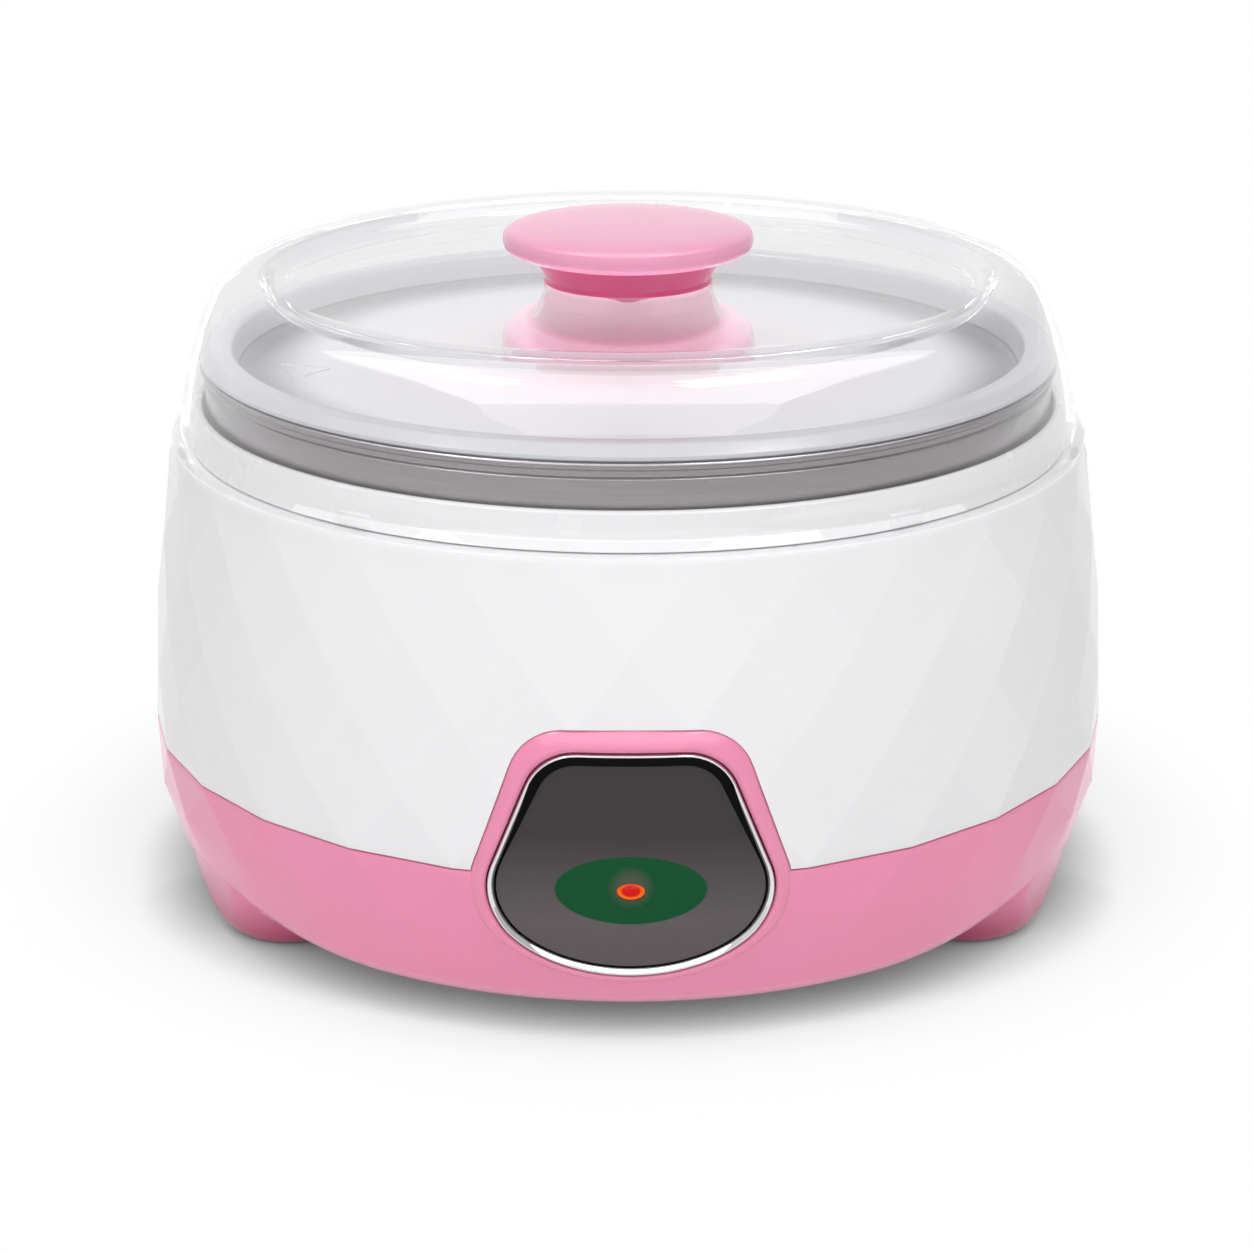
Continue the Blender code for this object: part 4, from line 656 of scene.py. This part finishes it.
def makeBase():
    form = baseForm
    bm = bmesh.new()
    seam, rowZ = bodyForm["seam"], bodyForm["baseRow"]
    lead = seam - form["lead"]
    start = ringVerts(bm, bodyRadius(lead), lead)
    facetWall(bm, start, [(bodyRadius(rowZ), rowZ)], form["cuts"])
    crease, low, tuck, wall = bodyForm["creaseHeight"], form["under"], form["tuckRadius"], form["wall"]
    reach = bodyForm["creaseRadius"] - tuck
    lipOut, lipUp = form["creaseLip"]
    lower = [(bodyForm["creaseRadius"] + lipOut, crease + lipUp), *smoothLine(form["tuck"], 3)]
    outer, inner, lipTop = form["lip"]
    upper = [(outer, seam), (outer, lipTop), (inner, lipTop), (inner, rowZ)]
    for k in range(5):
        angle = pi / 2 * k / 4
        upper.append((tuck + (reach - wall) * cos(angle), crease - (crease - low - wall) * sin(angle)))
    upper.append((form["hub"], low + wall))
    rim = openEdges(bm, True)
    edges = insetRings(bm, openEdges(bm, False), [(inset, seam + rise) for inset, rise in form["seamEdge"]])
    edges = drawRings(bm, edges, upper)
    for index, (radius, z) in enumerate(lower):
        rim = liftRing(bm, rim, radius, z)[0]
        fall = 1 - index / (len(lower) - 1)
        for v in {v for e in rim for v in e.verts}:       # the lower edge rises over each foot
            rise = form["footRise"] * nearFoot(v.co) * fall
            v.co.z += rise * mm
            flat = Vector((v.co.x, v.co.y)).normalized() * (radius + form["footFlare"] * rise) * mm
            v.co.x, v.co.y = flat
    rim = drawRings(bm, rim, [(form["hub"], low)])
    for ends in (edges, rim):
        bmesh.ops.contextual_create(bm, geom=ends)
    bmesh.ops.recalc_face_normals(bm, faces=bm.faces)
    face, height, room = inletForm["face"], inletForm["height"], form["inletRoom"]
    flange, body = [[side + room for side in inletForm[key][:2]] for key in ("flange", "body")]
    cutters = [panelNotch(form["notch"]),
               roundedBox((flange[0], 20, flange[1]), (0, face + 10, height), inletForm["corner"] + room / 2),
               boxMesh((body[0], 50, body[1]), (0, face, height))]
    bore, head, seat, deep = [screwForm[key] for key in ("bore", "head", "seat", "deep")]
    for angle in screwForm["angles"]:
        sink = spinProfile([(0, deep), (bore, deep), (bore, seat), (head, seat), (head, 0), (0, 0)], 32)
        moveBmesh(sink, around(screwForm["circle"], angle))
        cutters.append(sink)
    bm = carve(bm, cutters)
    markRims(bm, 28.0)
    addPiece("pinkBase", bm, "housing", pinkAbs, None, ["base_shell"])


def makeInlet():
    # black inlet: rounded flange, a shallow step round the mouth, and a deep slot that takes a plug
    form = inletForm
    z = form["height"]
    front = form["face"] + form["gap"]
    width, height, thick = form["flange"]
    outside = front + thick
    flange = roundedBox((width, thick, height), (0, front + thick / 2, z), form["corner"], form["soft"])
    mouth, slot = form["mouth"], form["slot"]
    bm = carve(flange, [roundSlot(mouth[0], 2 * mouth[2], mouth[1], outside, z),
                        roundSlot(slot[0], 6, slot[1], outside, z)])
    markRims(bm, 35.0)
    addPiece("inletFlange", bm, "housing", socketNylon, None, ["inlet_socket"])
    width, height, depth = form["body"]
    body = roundedBox((width, depth, height), (0, front - depth / 2, z), form["bodyCorner"])
    cutters = [roundSlot(slot[0], 2 * slot[2] - 2 * thick, slot[1], front, z)]
    x, radius = form["pinHole"]
    for side in (-1, 1):
        bore = spinProfile([(0, -30), (radius, -30), (radius, 30), (0, 30)], 32)
        turnVerts(bore, bore.verts, pi / 2, "X")
        moveBmesh(bore, Vector((side * x, front, z)) * mm)
        cutters.append(bore)
    bm = carve(body, cutters)
    markRims(bm, 35.0)
    addPiece("inletBody", bm, "housing", socketNylon)


def makeFeet():
    form = footForm
    sides = ("Left", "Right", "Rear")
    pad, roof = form["pocket"]
    width, top = form["head"]
    for side, angle in zip(sides, form["angles"]):
        profile = [Vector((0, top)), Vector((width, top)), *smoothLine(form["side"], 3)]
        profile += easeCorners([form["side"][-1], (pad, form["low"], 0.3), (pad, roof), (0, roof)])[1:]
        bm = spinProfile(profile, 64)
        moveBmesh(bm, around(form["circle"], angle))
        for v in bm.verts:           # the outer side stays just inside the slope of the base
            flat = Vector((v.co.x, v.co.y))
            limit = (form["outerRadius"] + form["outerSlope"] * (v.co.z / mm - form["outerHeight"])) * mm
            if flat.length > limit:
                flat = flat.normalized() * limit
                v.co.x, v.co.y = flat
        addPiece("foot" + side, bm, "housing", footAbs, 40)
    rubber = fineGrain("mouldedRubber", ("#2b2a2a", "#3a3939"), 0.8, 0.7, 0.05)    # dull, a little dusty
    radius, top = padForm["radius"], padForm["height"]
    groove = [(radius * share, depth) for share, depth in padForm["groove"]]
    for side, angle in zip(sides, form["angles"]):
        profile = easeCorners([(0, top), (radius, top, 0.2), (radius, 0, 0.5), *groove, (0, 0)], 3)
        bm = spinProfile(profile, 48)
        moveBmesh(bm, around(form["circle"], angle))
        addPiece("pad" + side, bm, "housing", rubber, 35, ["foot_pad_" + side.lower()])


# section of the surround: share of the way in, height
frameForm = {"gap": 0.2, "fullWidth": 3.5,
             "section": [(0.0, -2.6), (0.0, -0.62), (0.02, -0.5), (0.12, -0.15), (0.24, 0.22), (0.36, 0.52),
                         (0.48, 0.76), (0.6, 0.94), (0.7, 1.03), (0.77, 0.98), (0.86, 0.65), (0.95, 0.25),
                         (1.0, -0.3), (1.0, -2.6)]}


def makePanelFrame():
    # raised pink surround: a broad outer slope up to a soft crest, then down to the bezel
    outer = shieldOutline(panelForm["frame"])
    inner = shieldOutline(panelForm["bezel"], frameForm["gap"])
    loops = []
    for share, rise in frameForm["section"]:
        loop = []
        for a, b in zip(outer, inner):             # lower where the surround is narrower
            height = rise * min((a - b).length / frameForm["fullWidth"], 1.0) if rise > 0 else rise
            loop.append(onBody(a.lerp(b, share), height))
        loops.append(loop)
    addPiece("panelFrame", sweepLoops(loops), "housing", pinkAbs, 50)


makeBase()
makeInlet()
makeFeet()
makePanelFrame()
print("base, inlet, feet and panel frame made")


# lamp panel

# section of the bezel: way in, height
bezelForm = {"width": 1.35,
             "section": [(0.0, -3.8), (0.0, 0.1), (0.06, 0.27), (0.2, 0.38), (0.36, 0.36), (0.5, 0.24),
                         (0.8, -0.06), (1.1, -0.5), (1.35, -1.05), (1.35, -3.8)]}
windowForm = {"gap": 0.1, "sink": 0.9, "back": -3.8, "edge": 0.15, "holeEdge": 0.3, "rings": 12,
              "oval": {"halfWidth": 13.6, "halfHeight": 6.6, "height": 33.0},
              "halo": {"halfWidth": 4.2, "halfHeight": 4.2, "height": 33.6}}
borderForm = {"thin": 0.15, "thick": 1.1, "start": 38.0, "ramp": 14.0, "lip": 0.5, "crown": 0.26,
              "skirt": 0.3, "shadeBorder": (0.02, 0.03)}
lensForm = {"half": (2.45, 1.5), "gap": 0.1, "sink": 0.66,
            "dome": [(0, 1.5), (0.55, 1.35, 0.4), (0.93, 0.75, 0.3), (1.0, 0.35, 0.1), (1.0, -2.0),
                     (0, -2.0)],
            "glow": {"halfWidth": 2.45, "halfHeight": 1.45, "height": 33.2}}


def makePanel():
    outline, width, centre = panelForm["bezel"], bezelForm["width"], panelForm["centre"]
    loops = []
    for inset, rise in bezelForm["section"]:            # narrow lip, then a bright slope in to the window
        loops.append([onBody(p, rise) for p in shieldOutline(outline, -inset)])
    addPiece("chromeBezel", sweepLoops(loops), "housing", bezelChrome, 40, ["panel_bezel"])
    form = windowForm
    sink, back, rings = form["sink"], form["back"], form["rings"]
    edge = shieldOutline(outline, -width - form["gap"])
    holeWidth, holeHeight = [half + lensForm["gap"] for half in lensForm["half"]]
    hole = []
    for p in edge:
        way = Vector((p.x / holeWidth, (p.y - centre) / holeHeight)).normalized()
        hole.append(Vector((way.x * holeWidth, centre + way.y * holeHeight)))
    loops = [[onBody(p, rise) for p in edge] for rise in (back, -sink - form["edge"])]
    for k in range(rings + 1):
        loops.append([onBody(a.lerp(b, k / rings), -sink) for a, b in zip(edge, hole)])
    loops += [[onBody(p, rise) for p in hole] for rise in (-sink - form["holeEdge"], back)]
    smoke = smokedAcrylic(form["oval"], form["halo"])
    addPiece("smokedWindow", sweepLoops(loops), "housing", smoke, 40, ["panel_window"])
    # black border round the window: a painted shade for the dark band along the top of the recess
    form = borderForm
    thin, thick, skirt = form["thin"], form["thick"], form["skirt"]
    outerShadeLift, innerShadeLift = form["shadeBorder"]
    lip, reach = shieldOutline(outline, -form["lip"]), shieldOutline(outline, -width - thick)
    loops = [[], [], [], []]
    for p, out, far in zip(edge, lip, reach):        # painted shade, broad at the top, a thin line below
        share = min(max((p.y - form["start"]) / form["ramp"], 0.0), 1.0)
        outer = p.lerp(out, share)
        inner = p.lerp(far, (thin + (thick - thin) * share) / thick)
        rise = -sink + (sink + form["crown"]) * share
        spots = ((outer, rise - skirt), (outer, rise + outerShadeLift), (inner, innerShadeLift - sink),
                 (inner, -skirt - sink))
        for loop, (spot, height) in zip(loops, spots):
            loop.append(onBody(spot, height))
    shadeBorder = fineGrain("blackBorderPaintedShade", ("#050404", "#0a0809"), 0.5, 0.6, 0.002, 0.0, 0.05)
    addPiece("windowBorder", sweepLoops(loops), "housing", shadeBorder, 40)
    # lens: a cap with a short skirt, drawn to an oval and set into the window
    bm = spinProfile(easeCorners(lensForm["dome"], 5), 48)
    halfWidth, halfHeight = lensForm["half"]
    turnVerts(bm, bm.verts, pi / 2, "X")
    bmesh.ops.scale(bm, vec=(halfWidth, 1.0, halfHeight), verts=bm.verts)
    seat = bodyRadius(centre) - sink - lensForm["sink"]
    bmesh.ops.translate(bm, vec=Vector((0, -seat, centre)) * mm, verts=bm.verts)
    addPiece("lampLens", bm, "housing", lampRed(lensForm["glow"]), 40, ["indicator_lens"])


makePanel()
print("lamp panel made")


# inner well with its collar

wellForm = {"rim": 83.0, "rimHeight": 99.4, "collarTop": 84.6, "collarFoot": 85.8, "ledge": 92.5, "wall": 1.6,
            "taper": 1.8, "corner": 12, "floor": 38.6, "floorWall": 1.8, "opening": 48.0}
tabForm = {"angles": (-34.5, 34.5, -145.5, 145.5), "size": (6.8, 1.9, 2.4), "soft": 0.35, "circle": 85.2,
           "rise": 1.5}


def makeWell():
    form = wellForm
    rim, top, ledge, wall = form["rim"], form["rimHeight"], form["ledge"], form["wall"]
    floor, under = form["floor"], form["floor"] - form["floorWall"]
    profile = [(form["opening"], floor), (rim - form["taper"], floor, form["corner"]), (rim, ledge),
               (rim, top, 0.7), (form["collarTop"], top, 0.7), (form["collarFoot"], ledge), (rim + wall, ledge),
               (rim - form["taper"] + wall, under, form["corner"] + wall), (form["opening"], under)]
    bm = spinProfile(easeCorners(profile, 10), 144, closed=True)
    addPiece("whiteWell", bm, "housing", wellAbs, 40, ["inner_well"])
    for index, angle in enumerate(tabForm["angles"]):
        bm = boxMesh(tabForm["size"], (0, 0, 0))
        softenEdges(bm, bm.edges, tabForm["soft"], 3)
        moveBmesh(bm, around(tabForm["circle"], angle, ledge + tabForm["rise"]), radians(angle))
        addPiece("lidTab%d" % (index + 1), bm, "housing", wellAbs, 40)


makeWell()
print("well made")


# pot and lids

potForm = {"radius": 82.4, "foot": 80.6, "wall": 0.8, "floor": 40.6, "corner": 13.0, "top": 107.6,
           "bead": (83.1, 0.8), "beadTurn": 250, "groove": (106.0, 104.9), "grooveDepth": 0.55}
innerLidForm = {"edge": 82.95, "seat": 107.9, "crown": 110.5, "crownOuter": 81.0, "crownInner": 77.0,
                "floor": 105.0, "wall": 1.4, "slope": 1.2, "skirt": 81.2, "skirtWall": 0.7, "skirtDrop": 2,
                "web": 76.2}
triangleForm = {"corners": [(-67.5, -4.6), (-64.1, -17.0), (-57.7, -7.7)], "line": 1.0, "lift": 0.05,
                "height": 0.4}
clearLidForm = {"plate": 120.6, "plateRadius": 68.4, "wall": 1.6, "hole": 2.1, "step": (1.7, 3.3),
                "side": [(70.6, 124.0), (72.6, 124.2), (75.4, 123.8), (78.0, 122.5), (79.9, 120.7),
                         (81.3, 118.4), (82.45, 115.8), (83.55, 112.9), (84.9, 108.3), (86.0, 103.8),
                         (86.7, 100.3), (87.25, 96.6)],
                "rim": [(87.6, 95.2, 0.8), (89.2, 93.7, 0.5), (89.2, 92.5, 0.25), (86.7, 92.5, 0.2),
                        (86.7, 94.6, 0.4)]}
knobForm = {"radius": 24.3, "equator": 128.8, "top": 132.8, "fullness": 0.43,
            "lower": [(23.9, 127.6, 1.2), (20.9, 126.3, 1.5), (18.3, 126.3, 0.7), (16.2, 121.8),
                      (16.5, 120.9, 0.2), (2.0, 120.9), (2.0, 127.6), (0, 127.6)]}
screwHead = {"radius": 3.2, "height": 0.9, "shank": 1.5, "cross": (3.4, 0.7), "crossDepth": 1.6, "bore": 1.8}


def changeMiddle(piece, material, radius):
    # another material on the faces within this radius
    piece.data.materials.append(material)
    for face in piece.data.polygons:
        if Vector(face.center[:2]).length < radius * mm:
            face.material_index = 1


def makePot():
    form = potForm
    beadOut, beadHalf = form["bead"]
    radius, wall, corner, top = form["radius"], form["wall"], form["corner"], form["top"]
    inner = radius - wall
    floor = form["floor"] + wall
    foot = (form["foot"] - wall, floor, corner - wall)
    line = easeCorners([(0, floor), foot, (inner, top - 2 * beadHalf)], 12)
    half = (beadOut - inner) / 2
    for k in range(15):
        angle = radians(180 - form["beadTurn"] * k / 14)
        line.append(Vector((inner + half + half * cos(angle), top - beadHalf + beadHalf * sin(angle))))
    grooveTop, grooveLow = form["groove"]
    neck = radius - form["grooveDepth"]
    line += easeCorners([(neck, grooveTop), (neck, grooveLow, 0.2), (radius, grooveLow - 0.5, 0.3),
                         (form["foot"], form["floor"], corner), (0, form["floor"])], 12)
    addPiece("steelPot", spinProfile(line, 160), "inner_pot", potSteel, 40, ["inner_pot"])


def makeInnerLid():
    form = innerLidForm
    seat, crown, floor, wall = form["seat"], form["crown"], form["floor"], form["wall"]
    inner, slope, skirt = form["crownInner"], form["slope"], form["skirt"]
    inside, low = skirt - form["skirtWall"], seat - form["skirtDrop"]
    profile = [(0, floor), (inner - slope, floor, 0.9), (inner, crown, 1.2), (form["crownOuter"], crown, 1.2),
               (form["edge"], seat + 0.75, 0.35), (form["edge"], seat, 0.2), (skirt, seat), (skirt, low, 0.2),
               (inside, low, 0.2), (inside, crown - wall, 0.3), (inner + 0.7, crown - wall, 0.3),
               (inner - slope + wall, floor - wall, 0.9), (0, floor - wall)]
    lid = addPiece("milkyInnerLid", spinProfile(easeCorners(profile), 160), "inner_lid", lidMilky,
                   40, ["inner_lid"])
    lid.visible_shadow = False
    changeMiddle(lid, lidWeb, form["web"])
    # small moulded triangle on the lid: a raised line round its edge
    form = triangleForm
    bm = bmesh.new()
    height = (floor + form["lift"]) * mm
    face = bm.faces.new([bm.verts.new((x * mm, y * mm, height)) for x, y in form["corners"]])
    ring = bmesh.ops.inset_individual(bm, faces=[face], thickness=form["line"] * mm,
                                      use_even_offset=True)["faces"]
    bmesh.ops.delete(bm, geom=[face], context="FACES")
    raised = bmesh.ops.extrude_face_region(bm, geom=ring, use_keep_orig=True)["geom"]
    raised = [g for g in raised if isinstance(g, bmesh.types.BMVert)]
    bmesh.ops.translate(bm, vec=(0, 0, form["height"] * mm), verts=raised)
    bmesh.ops.recalc_face_normals(bm, faces=bm.faces)
    whiter = fineGrain("thickPolypropylene", ("#f7f7f9", "#fcfcfd"), 0.3, 0.9, 0.004)
    mark = addPiece("moldedTriangle", bm, "inner_lid", whiter, 30)
    mark.visible_shadow = False


def makeClearLid():
    form = clearLidForm
    plate, wall, radius = form["plate"], form["wall"], form["plateRadius"]
    stepOut, stepUp = form["step"]
    top = easeCorners([(form["hole"], plate), (radius, plate, 2.2), (radius + stepOut, plate + stepUp, 1.6),
                       form["side"][0]])
    outside = top[:-1] + smoothLine(form["side"])
    inside = shiftLine(outside, -wall)
    inside[0] = Vector((form["hole"], plate - wall))
    rim = easeCorners([tuple(outside[-1]), *form["rim"], tuple(inside[-1])], 5)
    profile = outside + rim[1:-1] + inside[::-1]
    bm = spinProfile(profile, 160, closed=True)
    lid = addPiece("clearLid", bm, "outer_lid", lidClear, 40, ["outer_lid"])
    lid.visible_shadow = lid.visible_diffuse = False          # light comes straight through it
    changeMiddle(lid, plateClear, radius)


def makeKnob():
    form = knobForm
    dome = []
    for k in range(15):
        angle = pi / 2 * k / 14
        rise = (form["top"] - form["equator"]) * max(cos(angle), 0) ** form["fullness"]
        dome.append((form["radius"] * sin(angle), form["equator"] + rise))
    dome = smoothLine(dome, 2)
    lower = easeCorners([tuple(dome[-1]), *form["lower"]])
    return addPiece("pinkKnob", spinProfile(dome + lower[1:], 96), "outer_lid", knobAbs, 40,
                    ["lid_knob"])


def makeKnobScrew():
    # low pan head with a cross in it, and a washer with eased edges, under the lid's plate
    form = screwHead
    low, high = [corner[2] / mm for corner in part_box("knob_washer")]
    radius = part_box("knob_washer")[1][0] / mm
    rim = [(form["bore"], high), (radius, high, 0.2), (radius, low, 0.2), (form["bore"], low)]
    bm = spinProfile(easeCorners(rim, 4), 48, closed=True)
    addPiece("knobWasher", bm, "outer_lid", platedSteel, 30, ["knob_washer"])
    seat = low - 0.3
    crown = seat - form["height"]
    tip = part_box("knob_screw")[1][2] / mm
    head = easeCorners([(0, crown), (form["radius"] * 0.7, seat - form["height"] * 0.9, 1.5),
                        (form["radius"], seat - 0.2, 0.2), (form["radius"], seat), (form["shank"], seat),
                        (form["shank"], tip, 0.3), (0, tip)], 5)
    length, width = form["cross"]
    depth = form["crossDepth"]
    blades = [boxMesh((length, width, depth), (0, 0, crown)), boxMesh((width, length, depth), (0, 0, crown))]
    bm = carve(spinProfile(head, 48), blades)
    markRims(bm, 35.0)
    addPiece("knobScrew", bm, "outer_lid", platedSteel, None, ["knob_screw"])


makePot()
makeInnerLid()
makeClearLid()
knob = makeKnob()
makeKnobScrew()
print("pot and lids made")


# finishes for the CAD pieces that keep their shape

innerFinishes = [
    (platedSteel, ["heater_strap", "fuse_clip", "clip_screw", "strap_screw_left", "strap_screw_right",
                   "base_screw_front", "base_screw_left", "base_screw_right"]),
    (brushedMetal("turnedAluminium", ("#b9babd", "#c9cacc"), 0.34, 0.4), ["heater_plate"]),
    (fineGrain("firedCeramic", ("#cfc8ba", "#dcd6c9"), 0.6, 0.5, 0.03), ["heater_element", "thermal_fuse"]),
    (fineGrain("platedBrass", ("#bfa05a", "#cfb26c"), 0.25, 0.7, 0.01, 1.0),
     ["inlet_pin_left", "inlet_pin_right"]),
    (fineGrain("laminateBoard", ("#1d5a33", "#256b3f"), 0.45, 0.7, 0.02), ["lamp_board"]),
    (fineGrain("whiteNylon", ("#dedcd5", "#e8e6e0"), 0.45, 0.6, 0.02), ["terminal_block"]),
    (fineGrain("redPvc", ("#a81f17", "#bb2a20"), 0.45, 0.8, 0.01),
     ["fuse_wire", "element_wire_live", "inlet_wire_live", "lamp_wire_live"]),
    (fineGrain("bluePvc", ("#20459c", "#2a52b0"), 0.45, 0.8, 0.01),
     ["element_wire_neutral", "inlet_wire_neutral", "lamp_wire_neutral"])]
for finish, nodes in innerFinishes:
    for node in nodes:
        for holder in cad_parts[node].material_slots:
            holder.material = finish
print("CAD pieces finished")


# floor, light and camera

# where the floor turns white, and the settings of its painted shadow
floorForm = {"size": 3.0, "reach": (0.085, 0.125), "white": 0.95, "lean": (-0.5, 0.87), "close": 0.02,
             "contact": (0.13, 0.62), "aside": (0.03, 0.085), "asideDim": 0.7, "wide": 0.07,
             "soft": (0.3, 0.86), "softDim": 0.7}
studio = {"ambient": 0.22, "room": 0.7, "lens": 88.3, "sensor": 36, "nearest": 0.01,
          "eye": (-0.0031, -0.5870, 0.2521), "aim": (0.0, 0.0, 0.0495), "shift": -0.0009,
          # name, place, aim, width, height, watts, what it is for
          "lamps": [("overheadBox", (0.0, -0.38, 0.95), (0, -0.1, 0.05), 0.95, 1.0, 7.2, "light"),
                    ("frontFill", (0.0, -1.35, 0.2), (0, 0, 0.06), 1.2, 0.7, 4.3, "light"),
                    ("tableBounce", (0.0, -0.75, 0.03), (0, 0, 0.1), 1.0, 0.06, 0.5, "light"),
                    ("leftBox", (-1.0, -0.25, 0.5), (0, 0, 0.06), 0.4, 0.9, 1.0, "light"),
                    ("rightBox", (1.0, -0.25, 0.5), (0, 0, 0.06), 0.4, 0.9, 0.7, "light"),
                    ("backFill", (0.0, 1.2, 0.5), (0, 0, 0.06), 1.2, 0.7, 5.5, "light"),
                    ("softCard", (0.0, -0.475, 0.95), (0, -0.475, 0.0), 2.2, 1.55, 20.0, "gloss"),
                    ("frontCard", (0.0, -1.775, 0.95), (0, -1.775, 0.0), 2.2, 1.05, 5.0, "gloss"),
                    ("knobBounce", (0.0, 0.06, 0.02), (0, -0.01, 0.125), 0.12, 0.12, 0.42, "knob"),
                    ("leftSpot", (-0.50, -0.33, 0.92), (0, 0, 0.1), 0.34, 0.16, 1.4, "gloss"),
                    ("rightSpot", (0.33, -0.33, 0.92), (0, 0, 0.1), 0.42, 0.16, 1.6, "gloss")]}


def lookAt(item, aim):
    item.rotation_euler = (Vector(aim) - item.location).to_track_quat("-Z", "Y").to_euler()


def makeFloor():
    # white to the camera away from the object; close to it, mostly a painted shadow from ambient occlusion,
    # over a plain diffuse floor with its own shadow
    form = floorForm
    bm = bmesh.new()
    bmesh.ops.create_grid(bm, x_segments=1, y_segments=1, size=form["size"])
    floor = newObject("paleFloor", bm)
    material, tree, shader, coords = newMaterial("paleFloor", {"Roughness": 0.9, "Specular IOR Level": 0.0})
    path = addNode(tree, "LightPath")
    lit = addNode(tree, "Math", {"operation": "MINIMUM", 1: 1.0}, {0: path.outputs["Diffuse Depth"]})
    bounce = addNode(tree, "Mix", {"data_type": "RGBA", 6: hexColor("#f4f4f4"), 7: hexColor("#e2e2e2")},
                     {0: lit})
    joinNode(tree, shader, {"Base Color": bounce})
    reach = addNode(tree, "VectorMath", {"operation": "LENGTH"}, {0: coords})
    near, far = form["reach"]
    clear = addNode(tree, "MapRange", {"interpolation_type": "SMOOTHSTEP", "From Min": near, "From Max": far,
                                       "To Min": form["white"]},
                    {"Value": reach})
    seen = addNode(tree, "Math", {"operation": "SUBTRACT", 0: 1.0}, {1: lit})
    share = addNode(tree, "Math", {"operation": "MULTIPLY"}, {0: clear, 1: seen})
    forward, upward = form["lean"]
    lean = addNode(tree, "CombineXYZ", {"Y": forward, "Z": upward})       # painted shadow paler towards the front
    closeBy, wideBy = [addNode(tree, "AmbientOcclusion", {"samples": 24, "Distance": distance},
                               {"Normal": lean}) for distance in (form["close"], form["wide"])]
    place = addNode(tree, "SeparateXYZ", {}, {"Vector": coords})
    aside = addNode(tree, "Math", {"operation": "ABSOLUTE"}, {0: place.outputs["X"]})
    start, end = form["aside"]
    dim = addNode(tree, "MapRange",
                  {"From Min": start, "From Max": end, "To Min": 1.0, "To Max": form["asideDim"]},
                  {"Value": aside})                    # painted shadow deeper at the sides
    bare = addNode(tree, "Math", {"operation": "MULTIPLY"}, {0: closeBy.outputs["AO"], 1: dim})
    dark, unshaded = form["contact"]
    contact = addNode(tree, "MapRange", {"From Min": dark, "From Max": unshaded}, {"Value": bare})
    dark, unshaded = form["soft"]
    soft = addNode(tree, "MapRange", {"From Min": dark, "From Max": unshaded, "To Min": form["softDim"]},
                   {"Value": wideBy.outputs["AO"]})
    paintedShadow = addNode(tree, "Math", {"operation": "MULTIPLY"}, {0: contact, 1: soft})
    white = addNode(tree, "Emission", {"Color": (1, 1, 1, 1)}, {"Strength": paintedShadow})
    blend = addNode(tree, "MixShader", {}, {0: share, 1: shader, 2: white})
    side = addNode(tree, "NewGeometry")
    none = addNode(tree, "BsdfTransparent")        # open from below, so that the underside can be seen
    sided = addNode(tree, "MixShader", {}, {0: side.outputs["Backfacing"], 1: blend, 2: none})
    joinNode(tree, tree.nodes["Material Output"], {"Surface": sided})
    floor.data.materials.append(material)


def makeWorld():
    # white backdrop for the camera and through clear plastic, a greyer room in front for the gloss
    world = bpy.data.worlds.new("studioWorld")
    bpy.context.scene.world = world
    world.use_nodes = True
    tree = world.node_tree
    tree.nodes.clear()
    path = addNode(tree, "LightPath")
    way = addNode(tree, "TexCoord")
    parts = addNode(tree, "SeparateXYZ", {}, {"Vector": way.outputs["Generated"]})
    room = addNode(tree, "MapRange",
                   {"From Min": -0.35, "From Max": 0.5, "To Min": studio["room"], "To Max": 1.0},
                   {"Value": parts.outputs["Y"]})
    across = addNode(tree, "MapRange",
                     {"From Min": -0.6, "From Max": 0.6, "To Min": 1.15, "To Max": 0.8},
                     {"Value": parts.outputs["X"]})            # the right side of the room is darker
    wall = addNode(tree, "Math", {"operation": "MULTIPLY"}, {0: room, 1: across})
    glossy, lit = [addNode(tree, "Math", {"operation": "MINIMUM", 1: 1.0},
                           {0: path.outputs[depth]}) for depth in ("Glossy Depth", "Diffuse Depth")]
    gloss = addNode(tree, "Mix", {2: 1.0}, {0: glossy, 3: wall})
    level = addNode(tree, "Mix", {3: studio["ambient"]}, {0: lit, 2: gloss})
    glow = addNode(tree, "Background", {"Color": (1, 1, 1, 1)}, {"Strength": level})
    addNode(tree, "OutputWorld", {}, {"Surface": glow})


def makeLamp(name, place, aim, width, height, power, use):
    lamp = bpy.data.lights.new(name, "AREA")
    lamp.shape = "RECTANGLE"
    lamp.size = width
    lamp.size_y = height
    lamp.energy = power
    holder = bpy.data.objects.new(name, lamp)
    holder.location = place
    holder.visible_glossy = holder.visible_transmission = use == "gloss"
    holder.visible_diffuse = use != "gloss"
    if use == "knob":            # light thrown back from the lid below, for the knob's shaded side alone
        lamp.use_shadow = False
        holder.visible_camera = False
        lit = bpy.data.collections.new("knobLight")
        lit.objects.link(knob)
        holder.light_linking.receiver_collection = lit
    bpy.context.scene.collection.objects.link(holder)
    lookAt(holder, aim)


def makeCamera():
    lens = bpy.data.cameras.new("photoCamera")
    lens.lens = studio["lens"]
    lens.sensor_width = studio["sensor"]
    lens.shift_x = studio["shift"]
    lens.clip_start = studio["nearest"]
    camera = bpy.data.objects.new("photoCamera", lens)
    camera.location = studio["eye"]
    bpy.context.scene.collection.objects.link(camera)
    lookAt(camera, studio["aim"])
    bpy.context.scene.camera = camera
    bpy.context.scene.view_settings.view_transform = "Standard"


makeFloor()
makeWorld()
for lampRow in studio["lamps"]:
    makeLamp(*lampRow)
makeCamera()
print("studio made")
